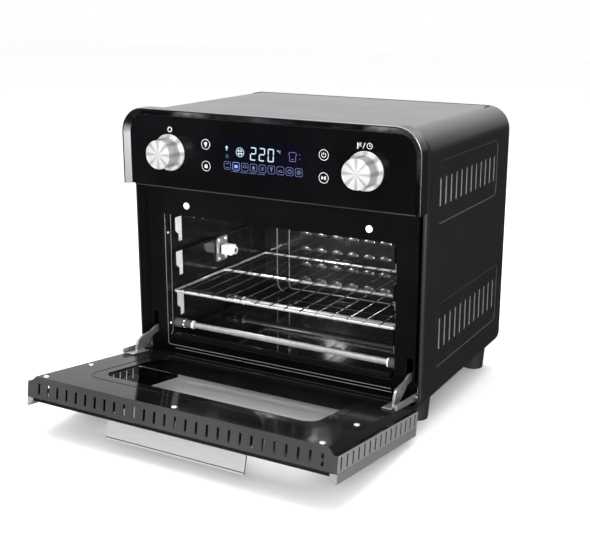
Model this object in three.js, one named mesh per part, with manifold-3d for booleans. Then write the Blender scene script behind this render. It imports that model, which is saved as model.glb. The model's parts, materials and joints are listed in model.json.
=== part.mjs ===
// Electric countertop oven with a drop-down door, in millimetres, +Z up, the front towards -Y.
// The door is modelled shut, against the front frame, and is then turned open to its stop, where it rests.
// While it is built, Y = 0 is the front of the control bezel and Z = 0 the surface under the feet.
import * as THREE from 'three';
import { mergeVertices } from 'three/addons/utils/BufferGeometryUtils.js';
import Module from 'manifold-3d';

const wasm = await Module();
wasm.setup();

// Clearance between neighbours, and one overrun for every cut
const GAP = 0.3;
const OVERRUN = 2;

// Wrapped sheet shell: two sides, top and the two strips under the base
const shell = {
  halfWidth: 200, bottom: 31, height: 323.5, front: 20, depth: 270.6, sheet: 1.2,
  topRadius: 30, bottomRadius: 18, lip: 5, bottomStrip: 50,
};
// Recessed vent panels in the shell's sides
const ventPanel = { recess: 1.6, radius: 9, slotWidth: 4.2, roundShare: 0.95 };
const upperVent = {
  frontMargin: 30, backMargin: 39.6, drop: 37, height: 73.5, pitch: 16.44, slotRise: 20, slotDrop: 20,
};
const lowerVent = {
  frontMargin: 38, backMargin: 19.6, rise: 40, height: 79, pitch: 17, slotRise: 20.5, slotDrop: 19,
};

// Arched bezel round the control panel, the glass in it and the housing behind
const bezel = {
  inset: 0.5, rise: 4.5, height: 95, radius: 31, rim: 1.8, rimRound: 0.5,
  chamfer: 8.5, recess: 6, shoulder: 3.4, wall: 2.5,
};
const glass = { thickness: 3.4, seat: 0.3 };
const housing = { inset: 1, wall: 1.6, depth: 27, floorGap: 1.5 };

// Control knobs and what is behind the glass
const knob = {
  inset: 68, rise: 43, flangeRadius: 22.2, flangeThickness: 3, capRadius: 18.2, length: 25, taper: 0.8,
  faceRadius: 16.2, faceRecess: 0.8, faceThickness: 0.6, shaftRadius: 3, shaftLength: 9,
};
const encoder = { radius: 9, length: 12, floor: 3 };
const board = { inset: 27.5, bottomMargin: 10, topMargin: 19, thickness: 1.6 };
const display = { halfWidth: 58, bottomMargin: 24, topMargin: 28 };

// Front frame and the bumpers on it
const frame = {
  setback: 9.5, sheet: 1.2, inset: 13, rise: 4, drop: 3.8, radius: 6, flangeDepth: 16,
  openSide: 1, openDrop: 1.5, openRadius: 8,
};
const bumper = { inset: 61, rise: 13.5, radius: 4.2, height: 2.6 };

// Cavity: sheet liner with pressed rack guides, and the louvred baffle in front of the fan
const cavity = { sideSpace: 40, rise: 29, drop: 39, radius: 3, sheet: 1, backSpace: 6.6, baffleSheet: 1 };
const guide = {
  depth: 7.5, height: 7, frontMargin: 21, backMargin: 18, rackShare: 0.3527, highShare: 0.679, tabShare: 0.952,
  tabLength: 13, tabHeight: 21, tailLength: 6, tailHeight: 11, spitClear: 20,
};
const louvre = {
  sideMargin: 55, bottomMargin: 14, topMargin: 6.5, pitchX: 25.4, pitchZ: 23.3, width: 17, height: 4,
};

// Heating rods and their ceramic ends; each rod's place is a share of the cavity's depth
const heater = { radius: 3.8, lowRise: 15, highDrop: 7.6 };
const heaterShares = { lower_front: 0.0633, lower_rear: 0.578, upper_front: 0.173, upper_rear: 0.671 };
const ceramic = { radius: 6.2, length: 12, socket: 2.3 };

// Convection fan, its motor and the cover behind them
const fan = {
  riseShare: 0.497, tipGap: 20.5, hubRadius: 9, blades: 10, bladeSheet: 1.4, thickness: 9,
  sideGap: 2.5, shaftRadius: 3, plate: 1.4,
};
const motor = { radius: 27, neckRadius: 6.6, length: 16, standoff: 1.5, bore: 12 };
const rearPanel = {
  sheet: 1.2, inset: 2, holeRadius: 62,
  ventWidth: 4, ventHeight: 34, ventPitch: 13, ventInner: 58, ventInset: 50, ventDrop: 69.5,
};
const rearCover = { radius: 74, motorGap: 9, sheet: 1.4, flange: 8, taper: 8 };

// Lamp in the right wall, spit drive in the left wall, temperature probe in the back
const lamp = {
  depthShare: 0.713, riseShare: 0.788, lensRadius: 19, lensThickness: 2.2,
  cupRadius: 24, cupDepth: 25, wall: 1.5,
};
const spit = {
  depthShare: 0.5169, riseShare: 0.5515, plateHalfWidth: 13, plateHalfHeight: 17, plateThickness: 2,
  shaftRadius: 6.5, shaftLength: 24, discRadius: 14, discThickness: 3, socket: 3.2, socketDepth: 14,
};
const spitMotor = { halfWidth: 21, halfHeight: 24, length: 25, bore: 9 };
const probe = { offset: 60, drop: 17, radius: 2.5, length: 46, nutRadius: 6, nutThickness: 2.5 };

// Floor tray and wire rack
const tray = { sideGap: 7, frontGap: 4, backGap: 6, sheet: 0.9, rim: 4, lipHeight: 5 };
const rack = {
  wireRadius: 1.3, rodRadius: 2, frontGap: 7, backGap: 5, middleShare: 0.5156, sideGap: 3, pitch: 21.25,
};

// Base, feet and the cord's inlet
const base = { sheet: 1.2, cornerGap: 1, frontMargin: 12 };
const foot = { inset: 29, frontInset: 56, rearInset: 18.6, topRadius: 16.5, bottomRadius: 14 };
const gland = { inset: 23, rise: 35, radius: 9, flangeRadius: 12.5, length: 16, flange: 3, bore: 4 };

// Door, measured shut: its inner face is towards +Y, and its ears beside the face are set back from it
const hinge = { setback: 0.5, rise: 14.3, openDegrees: 81.94 };
const door = {
  inset: 0.5, thickness: 29, step: 7, rise: 17.2, drop: 3.5, earWidth: 5.2, bendWidth: 6.3, sheet: 1.2,
  tongueHeight: 11.5, tongueInset: 27.5,
};
const flangeSlot = {
  pitch: 13.5, width: 3, inset: 7.4, length: 13, sidePitch: 13.1, sideInset: 2.6, sideLength: 13.4,
};
const doorWindow = { sideMargin: 59.5, bottomMargin: 21.5, topMargin: 57.5, radius: 16, lap: 7, thickness: 4 };
const doorGlass = { thickness: 3.6 };
const trim = { rim: 1.8, chamfer: 8.5, depth: 7, wall: 3 };
const handle = {
  halfWidth: 90, drop: 13.5, reach: 24.5, thickness: 3.4, legHeight: 16, legThickness: 2.4, tipRise: 3,
};

// Hinges: a leaf on each ear turns on the bracket's pin, and a sickle-shaped arm runs through the frame
const leaf = { sideGap: 0.7, thickness: 2.4, eyeRadius: 5, width: 6, height: 41.5, holeGap: 0.3 };
const pin = { radius: 2.8 };
const bracket = { sideGap: 1.5, thickness: 2.8, drop: 6.5, rise: 12.7, depth: 17.1, web: 3 };
const arm = {
  inset: 8.5, thickness: 3, reach: 45, slotSide: 2.2, slotEnd: 0.65,
  footDrop: 17.7, footRise: 14.3, footInner: 6, footOuter: 3, footThickness: 1.6,
};
// The sickle's two edges: degrees up from the line behind the pin, and shares of the arm's reach
const armInnerShares = [
  [97, 0.633], [90, 0.633], [83, 0.556], [73, 0.478], [63, 0.438], [45, 0.407], [28, 0.396], [4, 0.393],
];
const armHookShares = [[2, 0.311], [-3, 0.311]];
const armOuterShares = [
  [-3, 0.6], [9, 0.6], [23, 0.585], [40, 0.6], [55, 0.722], [67, 0.9], [74, 0.978], [83, 1], [94, 1],
];

// Facets of round pieces and steps of the sheet's bends
const facets = { large: 32, knob: 28, medium: 20, small: 14, rod: 12, wire: 8, thin: 6 };
const bend = { corner: 7, lowCorner: 5, lip: 4 };

// Places that follow from these sizes, from the shell inwards
const shellTop = shell.bottom + shell.height;
const shellBack = shell.front + shell.depth;
const shellInside = shell.sheet + GAP;
const bezelHalfWidth = shell.halfWidth - bezel.inset;
const bezelTop = shellTop + bezel.rise;
const bezelBottom = bezelTop - bezel.height;
const glassEdge = bezel.chamfer + glass.seat;
const glassBack = bezel.recess + glass.thickness + GAP;
const boardFront = glassBack + encoder.length + GAP;
const knobX = bezelHalfWidth - knob.inset;
const knobZ = bezelBottom + knob.rise;
const frameFront = shell.front + frame.setback;
const frameHalfWidth = shell.halfWidth - frame.inset;
const frameTop = bezelBottom - frame.drop;
const panelBack = shellBack - rearPanel.inset;
const baseBottom = shell.bottom + shellInside;
const baseTop = baseBottom + base.sheet;
const cavityHalfWidth = shell.halfWidth - cavity.sideSpace;
const cavityFront = frameFront + frame.sheet + GAP;
const cavityBack = shellBack - cavity.backSpace;
const cavityBottom = shell.bottom + cavity.rise;
const cavityTop = bezelBottom - cavity.drop;
const cavityHeight = cavityTop - cavityBottom;
const fanFront = cavityBack - cavity.sheet - fan.sideGap - fan.thickness;
const baffleFront = fanFront - fan.sideGap - cavity.baffleSheet;
const cavityDepth = baffleFront - cavityFront;
const rackSeat = cavityBottom + guide.rackShare * cavityHeight;
const rackZ = rackSeat + GAP + rack.rodRadius;
const fanZ = cavityBottom + fan.riseShare * cavityHeight;
const fanRadius = cavityHeight / 2 - fan.tipGap;
const motorFront = cavityBack + motor.standoff;
const lampPlace = [cavityFront + lamp.depthShare * cavityDepth, cavityBottom + lamp.riseShare * cavityHeight];
const spitPlace = [cavityFront + spit.depthShare * cavityDepth, cavityBottom + spit.riseShare * cavityHeight];
const probePlace = [-probe.offset, cavityTop - probe.drop];
const glandX = shell.halfWidth - gland.inset;
const glandZ = shell.bottom + gland.rise;
const pivotY = frameFront + hinge.setback;
const pivotZ = shell.bottom + hinge.rise;
const doorInner = frameFront - GAP - bumper.height - GAP;
const doorOuter = doorInner - door.thickness;
const doorHalfWidth = shell.halfWidth - door.inset;
const doorEar = doorHalfWidth - door.earWidth;
const doorBottom = pivotZ + door.rise;
const doorTop = bezelBottom - door.drop;
const doorSeat = doorInner + GAP;
const leafX = frameHalfWidth + leaf.sideGap;
const bracketX = leafX + leaf.thickness + bracket.sideGap;
const armX = frameHalfWidth - arm.inset;

const materials = {
  charcoal: new THREE.MeshStandardMaterial({ color: 0x3b3c3e, roughness: 0.42, metalness: 0.55 }),
  bezelMetal: new THREE.MeshStandardMaterial({ color: 0x6d6d6e, roughness: 0.35, metalness: 0.8 }),
  blackGlass: new THREE.MeshStandardMaterial({ color: 0x0b0b0d, roughness: 0.06, metalness: 0 }),
  smokedGlass: new THREE.MeshStandardMaterial({ color: 0x15171a, roughness: 0.04, metalness: 0 }),
  enamel: new THREE.MeshStandardMaterial({ color: 0x101011, roughness: 0.18, metalness: 0.1 }),
  satinSteel: new THREE.MeshStandardMaterial({ color: 0x8a8783, roughness: 0.34, metalness: 1 }),
  aluminium: new THREE.MeshStandardMaterial({ color: 0xc9c8c5, roughness: 0.28, metalness: 1 }),
  chrome: new THREE.MeshStandardMaterial({ color: 0xd8d8d6, roughness: 0.12, metalness: 1 }),
  heaterSteel: new THREE.MeshStandardMaterial({ color: 0xb9b7b2, roughness: 0.25, metalness: 0.6 }),
  ceramic: new THREE.MeshStandardMaterial({ color: 0x4a4845, roughness: 0.6, metalness: 0 }),
  blackPlastic: new THREE.MeshStandardMaterial({ color: 0x1b1b1c, roughness: 0.5, metalness: 0 }),
  whiteRubber: new THREE.MeshStandardMaterial({ color: 0xe9e7e2, roughness: 0.7, metalness: 0 }),
  boardGreen: new THREE.MeshStandardMaterial({ color: 0x22553a, roughness: 0.6, metalness: 0 }),
  lens: new THREE.MeshStandardMaterial({ color: 0xdfe4e2, roughness: 0.15, metalness: 0 }),
};

// Solids: each helper returns a closed manifold, from a three.js geometry
function solid(geometry) {
  const plain = geometry.index ? geometry.toNonIndexed() : geometry.clone();
  plain.deleteAttribute('normal');
  plain.deleteAttribute('uv');
  const merged = mergeVertices(plain);
  const triangles = Uint32Array.from(merged.index.array);
  const corners = merged.attributes.position.array;
  if (signedVolume(corners, triangles) < 0) {
    for (let i = 0; i < triangles.length; i += 3) {
      [triangles[i + 1], triangles[i + 2]] = [triangles[i + 2], triangles[i + 1]];
    }
  }
  const vertProperties = Float32Array.from(corners);
  return new wasm.Manifold(new wasm.Mesh({ numProp: 3, vertProperties, triVerts: triangles }));
}

function signedVolume(corners, triangles) {
  const [a, b, c] = [new THREE.Vector3(), new THREE.Vector3(), new THREE.Vector3()];
  let sum = 0;
  for (let i = 0; i < triangles.length; i += 3) {
    a.fromArray(corners, 3 * triangles[i]);
    b.fromArray(corners, 3 * triangles[i + 1]);
    c.fromArray(corners, 3 * triangles[i + 2]);
    sum += a.dot(b.cross(c));
  }
  return sum;
}

function box(x0, x1, y0, y1, z0, z1) {
  const geometry = new THREE.BoxGeometry(x1 - x0, y1 - y0, z1 - z0);
  return solid(geometry.translate((x0 + x1) / 2, (y0 + y1) / 2, (z0 + z1) / 2));
}

// An outline in (u, v), extruded along X, Y or Z; u and v are the other two axes in the order XYZ
function prism(axis, shape, from, to, curveSegments = 4) {
  const geometry = new THREE.ExtrudeGeometry(shape, { depth: to - from, bevelEnabled: false, curveSegments });
  const [x, y, z] = [new THREE.Vector3(1, 0, 0), new THREE.Vector3(0, 1, 0), new THREE.Vector3(0, 0, 1)];
  const turn = new THREE.Matrix4();
  if (axis === 'x') turn.makeBasis(y, z, x);
  if (axis === 'y') turn.makeBasis(x, z, y.clone().negate());
  geometry.applyMatrix4(turn);
  if (axis === 'x') geometry.translate(from, 0, 0);
  if (axis === 'y') geometry.translate(0, to, 0);
  if (axis === 'z') geometry.translate(0, 0, from);
  return solid(geometry);
}

// A turned solid about an axis at (u, v): its profile points are (radius, place along the axis)
function turned(axis, profile, u, v, segments) {
  const geometry = new THREE.LatheGeometry(profile.map(([r, h]) => new THREE.Vector2(r, h)), segments);
  if (axis === 'x') geometry.rotateZ(-Math.PI / 2);
  if (axis === 'z') geometry.rotateX(Math.PI / 2);
  const place = { x: [0, u, v], y: [u, 0, v], z: [u, v, 0] }[axis];
  return solid(geometry.translate(...place));
}

function rod(axis, radius, from, to, u, v, segments = facets.rod) {
  return turned(axis, [[0, from], [radius, from], [radius, to], [0, to]], u, v, segments);
}

function outline(points) {
  return new THREE.Shape(points.map(([u, v]) => new THREE.Vector2(u, v)));
}

function roundedShape(u0, u1, v0, v1, lowRadius, highRadius) {
  const shape = new THREE.Shape();
  shape.moveTo(u0 + lowRadius, v0);
  shape.lineTo(u1 - lowRadius, v0);
  if (lowRadius > 0) shape.absarc(u1 - lowRadius, v0 + lowRadius, lowRadius, -Math.PI / 2, 0);
  shape.lineTo(u1, v1 - highRadius);
  shape.absarc(u1 - highRadius, v1 - highRadius, highRadius, 0, Math.PI / 2);
  shape.lineTo(u0 + highRadius, v1);
  shape.absarc(u0 + highRadius, v1 - highRadius, highRadius, Math.PI / 2, Math.PI);
  shape.lineTo(u0, v0 + lowRadius);
  if (lowRadius > 0) shape.absarc(u0 + lowRadius, v0 + lowRadius, lowRadius, Math.PI, 1.5 * Math.PI);
  return shape;
}

// A section of (inset, Y) points swept along stations in the XZ plane, each with its inward direction
function swept(stations, section) {
  const corners = [];
  for (const { x, z, inX, inZ } of stations) {
    for (const [inset, y] of section) corners.push(x + inX * inset, y, z + inZ * inset);
  }
  const count = section.length;
  const triangles = [];
  for (let i = 0; i + 1 < stations.length; i += 1) {
    for (let j = 0; j < count; j += 1) {
      const [a, b] = [i * count + j, i * count + (j + 1) % count];
      triangles.push(a, b, a + count, b, b + count, a + count);
    }
  }
  const contour = section.map(([inset, y]) => new THREE.Vector2(inset, y));
  const clockwise = THREE.ShapeUtils.isClockWise(contour);
  const last = (stations.length - 1) * count;
  for (const [a, b, c] of THREE.ShapeUtils.triangulateShape(contour, [])) {
    const [p, q] = clockwise ? [b, c] : [c, b];
    triangles.push(a, p, q);
    triangles.push(a + last, q + last, p + last);
  }
  const geometry = new THREE.BufferGeometry();
  geometry.setAttribute('position', new THREE.Float32BufferAttribute(corners, 3));
  geometry.setIndex(triangles);
  return geometry;
}

function arcStations(centreX, centreZ, radius, startDegrees, endDegrees, steps) {
  const list = [];
  for (let i = 0; i <= steps; i += 1) {
    const angle = THREE.MathUtils.degToRad(startDegrees + (endDegrees - startDegrees) * i / steps);
    const [cos, sin] = [Math.cos(angle), Math.sin(angle)];
    list.push({ x: centreX + radius * cos, z: centreZ + radius * sin, inX: -cos, inZ: -sin });
  }
  return list;
}

// The two rounded top corners, from the left side over to the right one
function topCorners(halfWidth, top, radius) {
  return [
    ...arcStations(-halfWidth + radius, top - radius, radius, 180, 90, bend.corner),
    ...arcStations(halfWidth - radius, top - radius, radius, 90, 0, bend.corner),
  ];
}

// The bezel's arch, from its left foot over the top to its right foot
function archStations(halfWidth, bottom, top, radius) {
  return [
    { x: -halfWidth, z: bottom, inX: 1, inZ: 0 },
    ...topCorners(halfWidth, top, radius),
    { x: halfWidth, z: bottom, inX: -1, inZ: 0 },
  ];
}

// The shell's wrap, from under the base on the left, over the top, to under the base on the right
function wrapStations() {
  const { halfWidth, bottom, topRadius, bottomRadius, bottomStrip } = shell;
  const [side, low] = [halfWidth - bottomRadius, bottom + bottomRadius];
  return [
    { x: -halfWidth + bottomStrip, z: bottom, inX: 0, inZ: 1 },
    ...arcStations(-side, low, bottomRadius, 270, 180, bend.lowCorner),
    ...topCorners(halfWidth, shellTop, topRadius),
    ...arcStations(side, low, bottomRadius, 0, -90, bend.lowCorner),
    { x: halfWidth - bottomStrip, z: bottom, inX: 0, inZ: 1 },
  ];
}

function lipArc(radius, centreInset, centreY) {
  const list = [];
  for (let i = 0; i <= bend.lip; i += 1) {
    const angle = Math.PI / 2 * i / bend.lip;
    list.push([centreInset - radius * Math.cos(angle), centreY - radius * Math.sin(angle)]);
  }
  return list;
}

// Middles of as many copies as fit between two places at a pitch, centred between them
function spread(from, to, pitch) {
  const count = Math.floor((to - from) / pitch);
  return Array.from({ length: count }, (_, i) => (from + to) / 2 + (i - (count - 1) / 2) * pitch);
}

// Joins a list of manifolds, or cuts a list of manifolds out of the first one
const join = (first, ...rest) => rest.reduce((sum, next) => sum.add(next), first);
const cut = (first, ...rest) => rest.reduce((sum, next) => sum.subtract(next), first);

const oven = new THREE.Group();
const doorGroup = new THREE.Group();

function piece(group, name, material, manifold) {
  const mesh = manifold.getMesh();
  const geometry = new THREE.BufferGeometry();
  geometry.setAttribute('position', new THREE.Float32BufferAttribute(mesh.vertProperties, 3));
  geometry.setIndex(new THREE.Uint32BufferAttribute(mesh.triVerts, 1));
  const faceted = geometry.toNonIndexed();
  faceted.computeVertexNormals();
  const node = new THREE.Mesh(faceted, material);
  node.name = name;
  group.add(node);
}

const sides = [['left', -1], ['right', 1]];

// A manifold mirrored to the left side; the right side is as modelled
const onSide = (sign, manifold) => (sign < 0 ? manifold.mirror([1, 0, 0]) : manifold);
const onBothSides = (manifold) => [manifold, onSide(-1, manifold)];

// Shell with its lip, and the recessed vent panels with their slots
function makeShell() {
  const { front, sheet, lip, halfWidth } = shell;
  const section = [
    [0, shellBack], ...lipArc(lip, lip, front + lip),
    ...lipArc(lip - sheet, lip, front + lip).reverse(), [sheet, shellBack],
  ];
  let body = solid(swept(wrapStations(), section));
  const { recess, radius, slotWidth, roundShare } = ventPanel;
  const backing = recess + sheet;
  const round = roundShare * slotWidth / 2;
  const cuts = [];
  const vents = [
    { ...upperVent, bottom: shellTop - upperVent.drop - upperVent.height },
    { ...lowerVent, bottom: shell.bottom + lowerVent.rise },
  ];
  for (const { frontMargin, backMargin, bottom, height, pitch, slotRise, slotDrop } of vents) {
    const [near, far, top] = [front + frontMargin, shellBack - backMargin, bottom + height];
    const panel = roundedShape(near, far, bottom, top, radius, radius);
    const rim = roundedShape(near - sheet, far + sheet, bottom - sheet, top + sheet, radius, radius);
    body = join(body, ...onBothSides(prism('x', rim, halfWidth - backing, halfWidth - sheet / 2)));
    cuts.push(...onBothSides(prism('x', panel, halfWidth - recess, halfWidth + OVERRUN)));
    for (const y of spread(near, far, pitch)) {
      const half = slotWidth / 2;
      const slot = roundedShape(y - half, y + half, bottom + slotRise, top - slotDrop, round, round);
      cuts.push(...onBothSides(prism('x', slot, halfWidth - backing - OVERRUN, halfWidth + OVERRUN, 1)));
    }
  }
  piece(oven, 'outer_shell', materials.charcoal, cut(body, ...cuts));
}

// Rear panel with the hole for the fan motor and the vents
function makeBack() {
  const { sheet, holeRadius, ventWidth, ventHeight, ventPitch, ventInner, ventInset, ventDrop } = rearPanel;
  const [near, far] = [panelBack - sheet - OVERRUN, panelBack + OVERRUN];
  const panelX = shell.halfWidth - shellInside;
  const panelShape = roundedShape(-panelX, panelX, baseTop + GAP, shellTop - shellInside,
    shell.bottomRadius - shellInside, shell.topRadius - shellInside);
  const ventZ = shellTop - ventDrop;
  const vents = spread(ventInner, shell.halfWidth - ventInset, ventPitch).flatMap((x) => onBothSides(
    box(x - ventWidth / 2, x + ventWidth / 2, near, far, ventZ - ventHeight / 2, ventZ + ventHeight / 2)));
  piece(oven, 'rear_panel', materials.charcoal, cut(
    prism('y', panelShape, panelBack - sheet, panelBack),
    rod('y', holeRadius, near, far, 0, fanZ, facets.large),
    rod('y', gland.radius + GAP, near, far, glandX, glandZ, facets.medium),
    ...vents,
  ));
}

// Domed cover over the fan motor
function makeCover() {
  const { radius, motorGap, sheet, flange, taper } = rearCover;
  const [front, back] = [panelBack + GAP, motorFront + motor.length + motorGap + sheet];
  const dome = radius - flange;
  piece(oven, 'rear_cover', materials.charcoal, turned('y', [
    [0, back], [dome - taper, back], [dome, back - taper], [dome, front + sheet], [radius, front + sheet],
    [radius, front], [dome - sheet, front], [dome - sheet, back - taper - sheet / 2],
    [dome - taper - sheet / 2, back - sheet], [0, back - sheet],
  ], 0, fanZ, facets.large));
}

// Base plate, feet and the cord's inlet
function makeBase() {
  const halfWidth = shell.halfWidth - shell.bottomRadius - base.cornerGap;
  const back = panelBack - rearPanel.sheet - GAP;
  piece(oven, 'base_plate', materials.satinSteel,
    box(-halfWidth, halfWidth, shell.front + base.frontMargin, back, baseBottom, baseTop));
  const height = shell.bottom - GAP;
  const cone = [[0, 0], [foot.bottomRadius, 0], [foot.topRadius, height], [0, height]];
  for (const [end, y] of [['front', shell.front + foot.frontInset], ['rear', shellBack - foot.rearInset]]) {
    for (const [side, sign] of sides) {
      const x = sign * (shell.halfWidth - foot.inset);
      piece(oven, `foot_${end}_${side}`, materials.blackPlastic, turned('z', cone, x, y, facets.rod));
    }
  }
  const { flangeRadius, length, flange, bore, radius } = gland;
  const front = panelBack + GAP;
  piece(oven, 'cord_gland', materials.blackPlastic, turned('y', [
    [bore, front - length], [radius, front - length], [radius, front], [flangeRadius, front],
    [flangeRadius, front + flange], [bore, front + flange], [bore, front - length],
  ], glandX, glandZ, facets.medium));
}

// Bezel, control glass and its housing
function makePanel() {
  const { radius, rim, rimRound, chamfer, recess, shoulder, wall } = bezel;
  const rear = shell.front - 2 * GAP;
  const seat = recess + shoulder;
  const section = [
    [0, rimRound], [rimRound, 0], [rim, 0], [chamfer, recess],
    [chamfer, seat], [wall, seat + wall], [wall, rear], [0, rear],
  ];
  piece(oven, 'top_bezel', materials.bezelMetal,
    solid(swept(archStations(bezelHalfWidth, bezelBottom, bezelTop, radius), section)));
  const glassX = bezelHalfWidth - glassEdge;
  const glassTop = bezelTop - glassEdge;
  const pane = roundedShape(-glassX, glassX, bezelBottom + GAP, glassTop, 0, radius - glassEdge);
  const bore = knob.shaftRadius + GAP;
  const shaftHole = rod('y', bore, recess - OVERRUN, glassBack + OVERRUN, knobX, knobZ, facets.small);
  piece(oven, 'control_glass', materials.blackGlass,
    cut(prism('y', pane, recess, recess + glass.thickness), ...onBothSides(shaftHole)));
  const floor = frameTop + housing.floorGap;
  const tub = (inset) => roundedShape(-glassX + inset, glassX - inset, floor + inset - housing.inset,
    glassTop - inset, 0, radius - glassEdge - inset);
  const tubBack = glassBack + housing.depth;
  piece(oven, 'control_housing', materials.blackPlastic, cut(
    prism('y', tub(housing.inset), glassBack, tubBack),
    prism('y', tub(housing.inset + housing.wall), glassBack - OVERRUN, tubBack - housing.wall),
  ));
}

// Knobs with their shafts, and the encoders, board and display behind the glass
function makeControls() {
  const { flangeRadius, flangeThickness, capRadius, taper, faceRadius, faceRecess, faceThickness } = knob;
  const { shaftRadius, shaftLength, length } = knob;
  const front = bezel.recess - GAP;
  const rim = front - flangeThickness;
  const cap = front - length;
  const face = cap + faceRecess;
  const body = [
    [0, front + shaftLength], [shaftRadius, front + shaftLength], [shaftRadius, front], [flangeRadius, front],
    [flangeRadius, rim], [capRadius, rim], [capRadius - taper, cap], [faceRadius, cap],
    [faceRadius, face + faceThickness], [0, face + faceThickness],
  ];
  const discRadius = faceRadius - GAP;
  const discBack = face + faceThickness - GAP;
  const disc = [[0, face], [discRadius, face], [discRadius, discBack], [0, discBack]];
  const bore = shaftRadius + GAP;
  const encoderBack = glassBack + encoder.length;
  const can = [
    [bore, glassBack], [encoder.radius, glassBack], [encoder.radius, encoderBack], [0, encoderBack],
    [0, encoderBack - encoder.floor], [bore, encoderBack - encoder.floor], [bore, glassBack],
  ];
  for (const [side, sign] of sides) {
    const x = sign * knobX;
    piece(oven, `knob_${side}`, materials.aluminium, turned('y', body, x, knobZ, facets.knob));
    piece(oven, `knob_face_${side}`, materials.aluminium, turned('y', disc, x, knobZ, facets.knob));
    piece(oven, `encoder_${side}`, materials.blackPlastic, turned('y', can, x, knobZ, facets.small));
  }
  const boardX = bezelHalfWidth - board.inset;
  piece(oven, 'control_board', materials.boardGreen, box(-boardX, boardX,
    boardFront, boardFront + board.thickness, bezelBottom + board.bottomMargin, bezelTop - board.topMargin));
  piece(oven, 'display_module', materials.blackPlastic, box(-display.halfWidth, display.halfWidth,
    glassBack, boardFront - GAP, bezelBottom + display.bottomMargin, bezelTop - display.topMargin));
}

// Front frame with the cavity's opening and the two slots for the hinge arms, and the door's bumpers
function makeFrame() {
  const { sheet, rise, radius, flangeDepth, openSide, openDrop, openRadius } = frame;
  const openX = cavityHalfWidth + openSide;
  const opening = roundedShape(-openX, openX, cavityBottom, cavityTop - openDrop, openRadius, openRadius);
  const ring = (inset) => roundedShape(-frameHalfWidth + inset, frameHalfWidth - inset,
    shell.bottom + rise + inset, frameTop - inset, radius - inset, radius - inset);
  const [near, far] = [frameFront - OVERRUN, frameFront + sheet + OVERRUN];
  const neck = arm.reach * armInnerShares.at(-1)[1];
  const slot = box(armX - arm.slotSide, armX + arm.thickness + arm.slotSide, near, far,
    pivotZ + neck - arm.slotEnd, pivotZ + arm.reach + arm.slotEnd);
  piece(oven, 'front_frame', materials.enamel, cut(
    prism('y', ring(0), frameFront, frameFront + flangeDepth),
    prism('y', ring(sheet), frameFront + sheet, frameFront + flangeDepth + OVERRUN),
    prism('y', opening, near, far),
    ...onBothSides(slot),
  ));
  const seat = frameFront - GAP;
  const button = [
    [0, seat], [bumper.radius, seat], [bumper.radius, seat - bumper.height / 2],
    [bumper.radius / 2, seat - bumper.height], [0, seat - bumper.height],
  ];
  const z = cavityTop - openDrop + bumper.rise;
  for (const [side, sign] of sides) {
    const x = sign * (frameHalfWidth - bumper.inset);
    piece(oven, `bumper_${side}`, materials.whiteRubber, turned('y', button, x, z, facets.small));
  }
}

// The pressed ledges of one wall, and the tabs that hang at their front and at the front of the top
function guides(sign) {
  const { depth, height, frontMargin, backMargin, spitClear } = guide;
  const { tabLength, tabHeight, tailLength, tailHeight } = guide;
  const [near, far] = [cavityFront + frontMargin, baffleFront - backMargin];
  const [edge, root] = [cavityHalfWidth - depth, cavityHalfWidth + cavity.sheet / 2];
  const [spitY, spitZ] = spitPlace;
  const parts = [];
  for (const share of [guide.rackShare, guide.highShare]) {
    const z = cavityBottom + share * cavityHeight;
    const ledge = outline([[root, z], [edge, z], [edge, z - height / 2], [root, z - height]]);
    const besideSpit = sign < 0 && Math.abs(z - spitZ) < spit.plateHalfHeight + 2 * height;
    const spans = besideSpit ? [[near, spitY - spitClear], [spitY + spitClear, far]] : [[near, far]];
    parts.push(...spans.map(([from, to]) => prism('y', ledge, from, to)));
  }
  for (const share of [guide.rackShare, guide.highShare, guide.tabShare]) {
    const z = cavityBottom + share * cavityHeight;
    const [inner, back] = [edge + cavity.sheet, near + cavity.sheet];
    parts.push(box(edge, inner, near - tabLength, back, z - tabHeight, z));
    parts.push(box(edge, inner, near - tailLength, back, z - tabHeight - tailHeight, z - height));
    parts.push(box(edge, root, near, back, z - height, z));
  }
  return parts.map((part) => onSide(sign, part));
}

// Cavity liner with its guides
function makeLiner() {
  const { radius, sheet } = cavity;
  const skin = (inset) => roundedShape(-cavityHalfWidth + inset, cavityHalfWidth - inset, cavityBottom + inset,
    cavityTop - inset, radius - sheet - inset, radius - sheet - inset);
  const tub = prism('y', skin(-sheet), cavityFront, cavityBack)
    .subtract(prism('y', skin(0), cavityFront - OVERRUN, cavityBack - sheet));
  const [wallNear, wallFar] = [cavityHalfWidth - OVERRUN, cavityHalfWidth + sheet + OVERRUN];
  const [backNear, backFar] = [cavityBack - sheet - OVERRUN, cavityBack + OVERRUN];
  piece(oven, 'cavity_liner', materials.enamel, cut(
    join(tub, ...sides.flatMap(([, sign]) => guides(sign))),
    onSide(-1, rod('x', spit.shaftRadius + GAP, wallNear, wallFar, ...spitPlace, facets.small)),
    rod('x', lamp.lensRadius + GAP, wallNear, wallFar, ...lampPlace, facets.medium),
    rod('y', fan.shaftRadius + GAP, backNear, backFar, 0, fanZ),
    rod('y', probe.radius + GAP, backNear, backFar, ...probePlace),
  ));
}

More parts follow.
